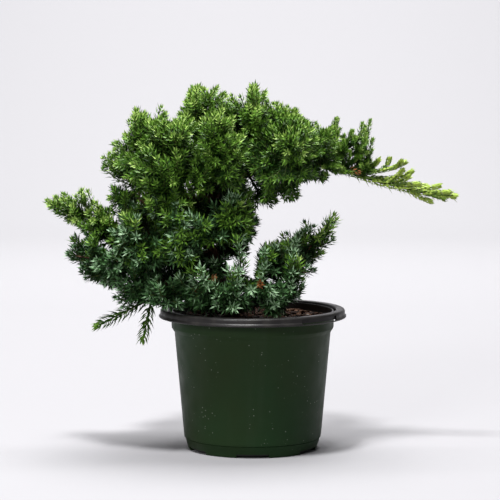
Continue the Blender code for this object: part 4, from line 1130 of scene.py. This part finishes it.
class Crown:
    """Grows every mass in its own space, from stems to the finest shoots."""

    def __init__(self, limbs):
        self.rng = np.random.default_rng(GROWTH_SEED)
        self.names = list(MASSES)
        self.feet = np.array([along(limbs[m.limb].line, m.share) for m in MASSES.values()])
        self.tips = np.array([m.tip for m in MASSES.values()]) * MM
        long_axes = unit(self.tips - self.feet)
        levels = np.cross(long_axes, UP)
        steep = np.linalg.norm(levels, axis=1) < STEEP
        levels[steep] = (np.array([1, 0, 0]) - long_axes * long_axes[:, :1])[steep]
        levels = unit(levels)
        self.axes = np.stack([long_axes, levels, np.cross(long_axes, levels)], axis=1)
        half = np.linalg.norm(self.tips - self.feet, axis=1) / 2
        widths = np.array([(m.wide, m.tall) for m in MASSES.values()]) * MM
        self.reaches = np.column_stack([half, widths])
        self.centres = (self.feet + self.tips) / 2
        self.outline = outline_depths()
        self.ends = np.empty((MOST_TWIGS, 3))
        self.count = 0
        self.twigs = []

    def depths(self, points, room=0.0):
        """How deep points are in every space: 0 at its centre, 1 at its edge less some room."""
        offsets = points[:, None, :] - self.centres[None]
        local = np.einsum("pmi,mki->pmk", offsets, self.axes) / (self.reaches - room)
        return (local**2).sum(-1)

    def outline_room(self, points):
        """How far points are inside the outline, in pixels."""
        x, y = np.clip(np.rint(photo_place(points)).astype(int), 0, PHOTO_SIZE - 1).T
        return self.outline[y, x]

    def grow(self, parent, feet, ways):
        """Twigs that bend up and out, a step at a time, as far as their length and the space allow."""
        mass, order = parent.mass, parent.order + 1
        low, high = ORDERS[order].length
        steps = int(high * MM / STEP)
        limits = (self.rng.uniform(low, high, len(feet)) * MM / STEP).astype(int)
        points = [feet]
        for _ in range(steps):
            outward = unit(points[-1] - self.centres[mass])
            ways = unit(ways + OUTWARD_BEND * outward + UPWARD_BEND * UP)
            points.append(points[-1] + STEP * ways)
        lines = np.stack(points, axis=1)
        flat = lines.reshape(-1, 3)
        depths = self.depths(flat, TIP_ROOM)
        own = depths[:, mass].copy()
        depths[:, mass] = np.inf
        edges = np.repeat(self.rng.uniform(*EDGE, len(feet)), lines.shape[1])
        needle = TONES[parent.tone].young.length
        margins = np.repeat(self.rng.uniform(*MARGIN, len(feet)) * needle / MARGIN_NEEDLE, lines.shape[1])
        free = (self.outline_room(flat) > margins) & ~in_pot(flat)
        free &= (flat[:, 1] < BACK_END) & (flat[:, 1] > FRONT_END)
        if parent.bound:
            free &= (own < edges**2) & (depths.min(1) > own)
        free = free.reshape(lines.shape[:2])
        free[:, 0] = True
        counts = np.minimum(np.where(free.all(1), lines.shape[1], (~free).argmax(1)), limits)
        ways, sides, ups = frames(lines)
        grown = []
        for i, count in enumerate(counts):
            n = self.apart_count(lines[i, :count])
            if n:
                cut = slice(n)
                axes = (ways[i, cut], sides[i, cut], ups[i, cut])
                grown.append(Twig(lines[i, cut], *axes, mass, parent.tone, order, parent.bound))
        return grown

    def apart_count(self, line):
        """How many points of a line to keep for its tip to be clear of the tips there are."""
        for count in range(len(line), SHORTEST - 1, -CUT_BACK):
            end = line[count - 1]
            near = ((self.ends[: self.count] - end) ** 2).sum(1)
            if not len(near) or near.min() > APART**2:
                self.ends[self.count] = end
                self.count += 1
                return count
        return 0

    def side_twigs(self, parent):
        """The feet and directions of the twigs on a parent, each one golden turn on from the last."""
        order = ORDERS[parent.order]
        every = order.spacing * MM / STEP
        count = int(len(parent.points) / every)
        first = self.rng.uniform(0, 2 * math.pi)
        shares = FIRST_TWIG + (1 - FIRST_TWIG) * (np.arange(1, count + 1) * GOLDEN_SHARE % 1)
        places = np.minimum((shares * (len(parent.points) - 1)).astype(int), len(parent.points) - 2)
        turns = (first + GOLDEN * np.arange(count))[:, None]
        sway = self.rng.uniform(-SWAY, SWAY, count)
        spread = np.radians(order.spread - SPREAD_LOSS * shares + sway)[:, None]
        radial = np.cos(turns) * parent.sides[places] + np.sin(turns) * parent.ups[places]
        return parent.points[places], parent.ways[places] * np.cos(spread) + radial * np.sin(spread)

    def stem_line(self, mass):
        if self.names[mass] == "tip_right":
            places = [from_photo(pixel, LEADER_Y) for pixel in LEADER]
            return smooth_line([self.feet[mass], *places], LIMB_STEPS)
        line = mixed(self.feet[mass], self.tips[mass], np.linspace(0, STEM_REACH, STEM_STEPS)[:, None])
        over = np.flatnonzero(self.outline_room(line[STEM_STEPS // 2 :]) < STEM_MARGIN)
        twiggy = TONES[MASSES[self.names[mass]].tone].orders > 0
        return line[: STEM_STEPS // 2 + over[0]] if len(over) and twiggy else line

    def along_line(self, line, mass, tone, order, bound):
        line = spaced(line, STEP)
        self.twigs.append(Twig(line, *frames(line), mass, tone, order, bound))
        return self.twigs[-1]

    def grow_sides(self, parents):
        """Order after order of side twigs, as many as each parent's tone bears."""
        while parents:
            kept = []
            for parent in parents:
                if parent.order < TONES[parent.tone].orders:
                    feet, ways = self.side_twigs(parent)
                    if len(feet):
                        kept += self.grow(parent, feet, ways)
            self.twigs += kept
            parents = kept

    def add_spur(self, stem, tone, share, x, y, level):
        """A listed twig, from a share of a stem to a pixel of the photograph."""
        foot, tip = along(stem.points, share), from_photo((x, y), level)
        tip = tip - unit(tip - foot) * SPUR_SHORT
        middle = (foot + tip) / 2 - UP * SPUR_SAG * np.linalg.norm(tip - foot)
        self.ends[self.count] = tip
        self.count += 1
        return self.along_line(smooth_line([foot, middle, tip], LIMB_STEPS), stem.mass, tone, 1, False)

    def add_leader_twigs(self):
        """The sprigs, the needles and the dead bud on the long side branch."""
        mass = self.names.index("tip_right")
        for pixels, level in LEADER_SPRIGS:
            levels = np.linspace(LEADER_Y, level, len(pixels))
            line = [from_photo(pixel, y) for pixel, y in zip(pixels, levels)]
            self.along_line(smooth_line(line, LIMB_STEPS), mass, "scale", 1, False)
        self.along_line(self.stem_line(mass), mass, "barbs", 1, False)
        bud = [from_photo(pixel, LEADER_Y - BUD_OUT) for pixel in DEAD_BUD]
        self.along_line(smooth_line(bud, LIMB_STEPS), mass, "dead", 1, False)

    def grow_all(self):
        """Stems first, then the listed twigs, which take their room before the others grow."""
        stems, spurs = [], []
        for mass, name in enumerate(self.names):
            stems.append(self.along_line(self.stem_line(mass), mass, MASSES[name].tone, 0, True))
        for name, tone, places in SPURS:
            stem = stems[self.names.index(name)]
            spurs += [self.add_spur(stem, tone, *place) for place in places]
        self.add_leader_twigs()
        self.grow_sides(spurs)
        for stem in stems:
            self.grow_sides([stem])


def twig_arrays(twigs):
    """Thin tapering tubes along twigs."""
    parts = []
    turns = 2 * math.pi * np.arange(TWIG_SIDES) / TWIG_SIDES
    for twig in twigs:
        picks = np.unique(np.r_[np.arange(0, len(twig.points), TWIG_EVERY), len(twig.points) - 1])
        foot, tip = ORDERS[twig.order].radii
        radii = np.linspace(foot, tip, len(picks))[:, None, None] * TONES[twig.tone].thick * MM
        round_it = np.cos(turns)[None, :, None] * twig.sides[picks][:, None]
        round_it = round_it + np.sin(turns)[None, :, None] * twig.ups[picks][:, None]
        points = twig.points[picks][:, None] + radii * round_it
        parts.append((points.reshape(-1, 3), tube_faces(len(picks), TWIG_SIDES)))
    return joined(parts)


# A needle's corners are its foot, left, right, keel and tip
OUTER_FACES = np.array([(0, 3, 1), (0, 2, 3), (1, 3, 4), (3, 2, 4)])
INNER_FACES = np.array([(0, 1, 2), (1, 4, 2)])


def needle_sides(corners, faces):
    """Points and faces of one side of many needles."""
    starts = corners.shape[1] * np.arange(len(corners))[:, None, None]
    return corners.reshape(-1, 3), (faces[None] + starts).reshape(-1, 3)


def light_shares(points):
    """The share of the light that reaches each point past the others, 0 to 1."""
    room = LIGHT_CELL * (LIGHT_CELLS + 1)
    low = points.min(0) - room
    crowds = np.zeros(np.ceil((points.max(0) + room - low) / LIGHT_CELL).astype(int))
    np.add.at(crowds, tuple(((points - low) / LIGHT_CELL).astype(int).T), 1)
    shares = np.zeros(len(points))
    for i in range(LIGHT_WAYS):
        height = mixed(LIGHT_LOW, 1, (i + 0.5) / LIGHT_WAYS)
        level = math.sqrt(1 - height**2)
        way = np.array([level * math.cos(GOLDEN * i), level * math.sin(GOLDEN * i), height])
        passed = np.zeros(len(points))
        for step in range(1, LIGHT_CELLS + 1):
            cells = ((points + step * LIGHT_CELL * way - low) / LIGHT_CELL).astype(int)
            passed += crowds[tuple(cells.T)]
        shares += np.exp(-LIGHT_LOSS * passed) / LIGHT_WAYS
    return shares


class Needles:
    """Every needle, from its foot and directions to its level of green and the mass it is in."""

    def __init__(self, crown):
        self.rng = np.random.default_rng(NEEDLE_SEED)
        self.ladders = list(LADDERS)
        self.rows = []
        for twig in crown.twigs:
            self.clothe(twig, TONES[twig.tone])

    def clothe(self, twig, tone):
        """Whorls of three along a twig, closer and paler at its end, and a bud of needles on its tip."""
        rng = self.rng
        count = len(twig.points)
        end = twig.points[-1]
        high = unit(end - CROWN_MIDDLE)[2]
        # A shoot high in the crown is painted paler: painted light on the crown's top.
        level = tone.level + HIGH_STEP * high + rng.normal(0, LEVEL_CHANCE)
        bare = int(BARE_SHARE * count) if twig.order < tone.orders - 1 else 0
        first = rng.uniform(0, 2 * math.pi)
        far, fars = 0.0, []
        while far < (count - 1 - bare) * STEP / MM:
            fars.append(far)
            far += mixed(tone.young.apart, tone.old.apart, smooth(far / tone.young_part))
        picks = count - 1 - np.rint(np.array(fars) * MM / STEP).astype(int)
        whorl = np.repeat(picks, WHORL)
        age = smooth((count - 1 - whorl) * STEP / MM / tone.young_part)
        turn = first + np.tile(np.arange(WHORL), len(picks)) * 2 * math.pi / WHORL
        turn = turn + np.repeat(np.arange(len(picks)), WHORL) * WHORL_TURN
        turn = turn + rng.uniform(-1, 1, len(whorl)) * TURN_CHANCE
        lean = np.radians(mixed(tone.young.lean, tone.old.lean, age))
        length = mixed(tone.young.length, tone.old.length, age)
        bud = np.arange(BUD_NEEDLES)
        whorl = np.r_[whorl, np.full(BUD_NEEDLES, count - 1)]
        turn = np.r_[turn, first + bud * GOLDEN]
        lean = np.r_[lean, np.full(BUD_NEEDLES, math.radians(BUD_LEAN))]
        length = np.r_[length, np.full(BUD_NEEDLES, tone.young.length * BUD_SHARE)]
        # Young needles are painted paler and old ones darker, partly the real colour of new and old growth
        # and partly painted shade deep in a shoot.
        old_step = 0 if tone.ladder == "lime" else OLD_STEP
        levels = level + mixed(YOUNG_STEP, -old_step, np.r_[age, np.zeros(BUD_NEEDLES)])
        # Every other whorl of scale leaves is painted paler and the next one darker: painted light and
        # shade where the leaves overlap.
        if tone.ladder == "lime":
            lit_whorls = np.repeat(np.arange(len(picks)) % 2, WHORL)
            levels[: len(lit_whorls)] += WHORL_LIGHT_STEP * (lit_whorls - 0.5)
        lean = lean + rng.uniform(-1, 1, len(lean)) * LEAN_CHANCE
        length = length * rng.uniform(*LENGTH_CHANCE, len(length)) * MM
        out = np.cos(turn)[:, None] * twig.sides[whorl] + np.sin(turn)[:, None] * twig.ups[whorl]
        width = np.full(len(length), tone.width * MM)
        name = tone.ladder
        if name == "by height":
            share = smooth((end[2] - GREEN_FROM) / (GREEN_TO - GREEN_FROM))
            name = "green" if rng.random() < share else "blue"
        ladder = np.full(len(length), self.ladders.index(name))
        curl = np.full(len(length), math.radians(tone.curl))
        mass = np.full(len(length), twig.mass)
        foot, tip = (radius * tone.thick * MM for radius in ORDERS[twig.order].radii)
        feet = twig.points[whorl] + out * mixed(foot, tip, whorl / (count - 1))[:, None]
        self.rows.append((feet, out, twig.ways[whorl], lean, curl, length, width, levels, ladder, mass))

    def kinds(self, levels, ladder):
        """The numbers of the colours of each needle's outer and inner side."""
        colours = list(NEEDLE_COLOURS)
        kinds = np.zeros((len(levels), 2), int)
        for k, name in enumerate(self.ladders):
            rungs = np.array([[colours.index(colour) for colour in pair] for pair in LADDERS[name]])
            chosen = ladder == k
            kinds[chosen] = rungs[np.clip(np.rint(levels[chosen]), 0, len(rungs) - 1).astype(int)]
        return kinds

    def build(self, names):
        """Every needle as a mesh, each colour apart, in pieces small enough to export."""
        columns = [np.concatenate(column) for column in zip(*self.rows)]
        foot, out, way, lean, curl, length, width, levels, ladder, mass = columns
        lean, curl, length, width = lean[:, None], curl[:, None], length[:, None], width[:, None]
        first = out * np.sin(lean + curl) + way * np.cos(lean + curl)
        last = out * np.sin(lean - curl) + way * np.cos(lean - curl)
        side = np.cross(way, out)
        back = unit(np.cross(side, first))
        middle = foot + first * length * NEEDLE_MIDDLE
        tip = middle + last * length * (1 - NEEDLE_MIDDLE)
        left, right = middle - side * width / 2, middle + side * width / 2
        corners = np.stack([foot, left, right, middle + back * width * KEEL_SHARE, tip], axis=1)
        light = light_shares(middle)
        # Each needle's colour is painted paler where much light gets past the others and darker where
        # little does: painted light and painted shade.
        kind = self.kinds(levels + LIGHT_STEP * (light - LIGHT_MIDDLE), ladder)
        free = ~in_pot(tip) & (light > SHADE_END)
        for k, name in enumerate(NEEDLE_COLOURS):
            outer = np.flatnonzero(free & (kind[:, 0] == k))
            inner = np.flatnonzero(free & (kind[:, 1] == k))
            parts = math.ceil((len(outer) * len(OUTER_FACES) + len(inner) * len(INNER_FACES)) / MOST_FACES)
            made_of = needle_material(name) if parts else None
            for part in range(parts):
                label = f"needles_{name}" + (f"_{part + 1}" if parts > 1 else "")
                sides = [
                    needle_sides(corners[np.array_split(chosen, parts)[part]], faces)
                    for chosen, faces in ((outer, OUTER_FACES), (inner, INNER_FACES))
                ]
                mesh = mesh_from_arrays(label, *joined(sides))
                chosen = np.r_[np.array_split(outer, parts)[part], np.array_split(inner, parts)[part]]
                add_piece(label, mesh, made_of, [names[m] for m in np.unique(mass[chosen])])


def make_foliage(limbs):
    """Brown stems, green twigs and the needles, grown on from the limbs."""
    crown = Crown(limbs)
    crown.grow_all()
    woody = [t for t in crown.twigs if t.order == 0 and t.tone not in GREEN_STEMS]
    brown, green = twig_material("twig_brown", TWIG_BROWN), twig_material("twig_green", TWIG_GREEN)
    add_tubes("twigs_brown", twig_arrays(woody), brown, crown.names)
    young = [t for t in crown.twigs if t.order > 0 or t.tone in GREEN_STEMS]
    add_tubes("twigs_green", twig_arrays(young), green)
    Needles(crown).build(crown.names)


def floor_material():
    """Pale and matt, a little less pale near the plant, where the most light falls."""
    shader = Shader("floor", FLOOR_FAR, 0.9)
    back = shader.node("ShaderNodeSeparateXYZ", {"Vector": shader.place}).outputs["Y"]
    share = shader.node("ShaderNodeMapRange", {"Value": back, "From Min": FLOOR_FROM, "From Max": FLOOR_TO})
    shader.set("Base Color", shader.mix(share.outputs["Result"], FLOOR_NEAR, FLOOR_FAR))
    return shader.material


def add_light(name, place, aim, size, power):
    light = bpy.data.lights.new(name, "AREA")
    light.size = size
    light.energy = power
    obj = bpy.data.objects.new(name, light)
    obj.location = place
    obj.rotation_euler = (Vector(aim) - Vector(place)).to_track_quat("-Z", "Y").to_euler()
    bpy.context.scene.collection.objects.link(obj)


def make_stage():
    """A pale floor that curves up into a wall, the lights and a dim even light from all round."""
    turns = np.linspace(STAGE_FIRST_TURN, math.pi / 2, STAGE_STEPS)
    bend = [(STAGE_BACK + STAGE_BEND * math.sin(t), STAGE_BEND * (1 - math.cos(t))) for t in turns]
    section = [(STAGE_FRONT, 0), (STAGE_BACK, 0), *bend, (STAGE_BACK + STAGE_BEND, STAGE_HEIGHT)]
    bm = bmesh.new()
    rows = [[bm.verts.new((x, y, z)) for x in (-STAGE_WIDTH / 2, STAGE_WIDTH / 2)] for y, z in section]
    for one, two in zip(rows, rows[1:]):
        bm.faces.new([one[0], one[1], two[1], two[0]])
    mesh = mesh_from_bmesh("floor", bm)
    mesh.materials.append(floor_material())
    floor = bpy.data.objects.new("floor", mesh)
    bpy.context.scene.collection.objects.link(floor)
    for light in LIGHTS:
        add_light(*light)
    world = bpy.data.worlds.new("studio")
    world.use_nodes = True
    world.node_tree.nodes["Background"].inputs["Color"].default_value = WORLD_COLOUR
    world.node_tree.nodes["Background"].inputs["Strength"].default_value = WORLD_LIGHT
    bpy.context.scene.world = world
    bpy.context.scene.view_settings.view_transform = "Standard"


def make_camera():
    camera = bpy.data.cameras.new("camera")
    camera.lens = CAMERA_LENS
    obj = bpy.data.objects.new("camera", camera)
    obj.location = CAMERA_PLACE
    obj.rotation_euler = (Vector(CAMERA_AIM) - Vector(CAMERA_PLACE)).to_track_quat("-Z", "Y").to_euler()
    bpy.context.scene.collection.objects.link(obj)
    bpy.context.scene.camera = obj


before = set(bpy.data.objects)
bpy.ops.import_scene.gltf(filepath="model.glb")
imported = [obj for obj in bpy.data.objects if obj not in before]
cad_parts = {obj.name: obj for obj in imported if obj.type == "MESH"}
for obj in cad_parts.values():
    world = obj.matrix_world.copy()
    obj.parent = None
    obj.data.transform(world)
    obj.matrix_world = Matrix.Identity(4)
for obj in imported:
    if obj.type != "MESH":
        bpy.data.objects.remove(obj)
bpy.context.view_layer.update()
make_camera()
make_stage()
make_pot()
make_soil()
limbs = make_limbs()
make_bark(limbs)
make_foliage(limbs)
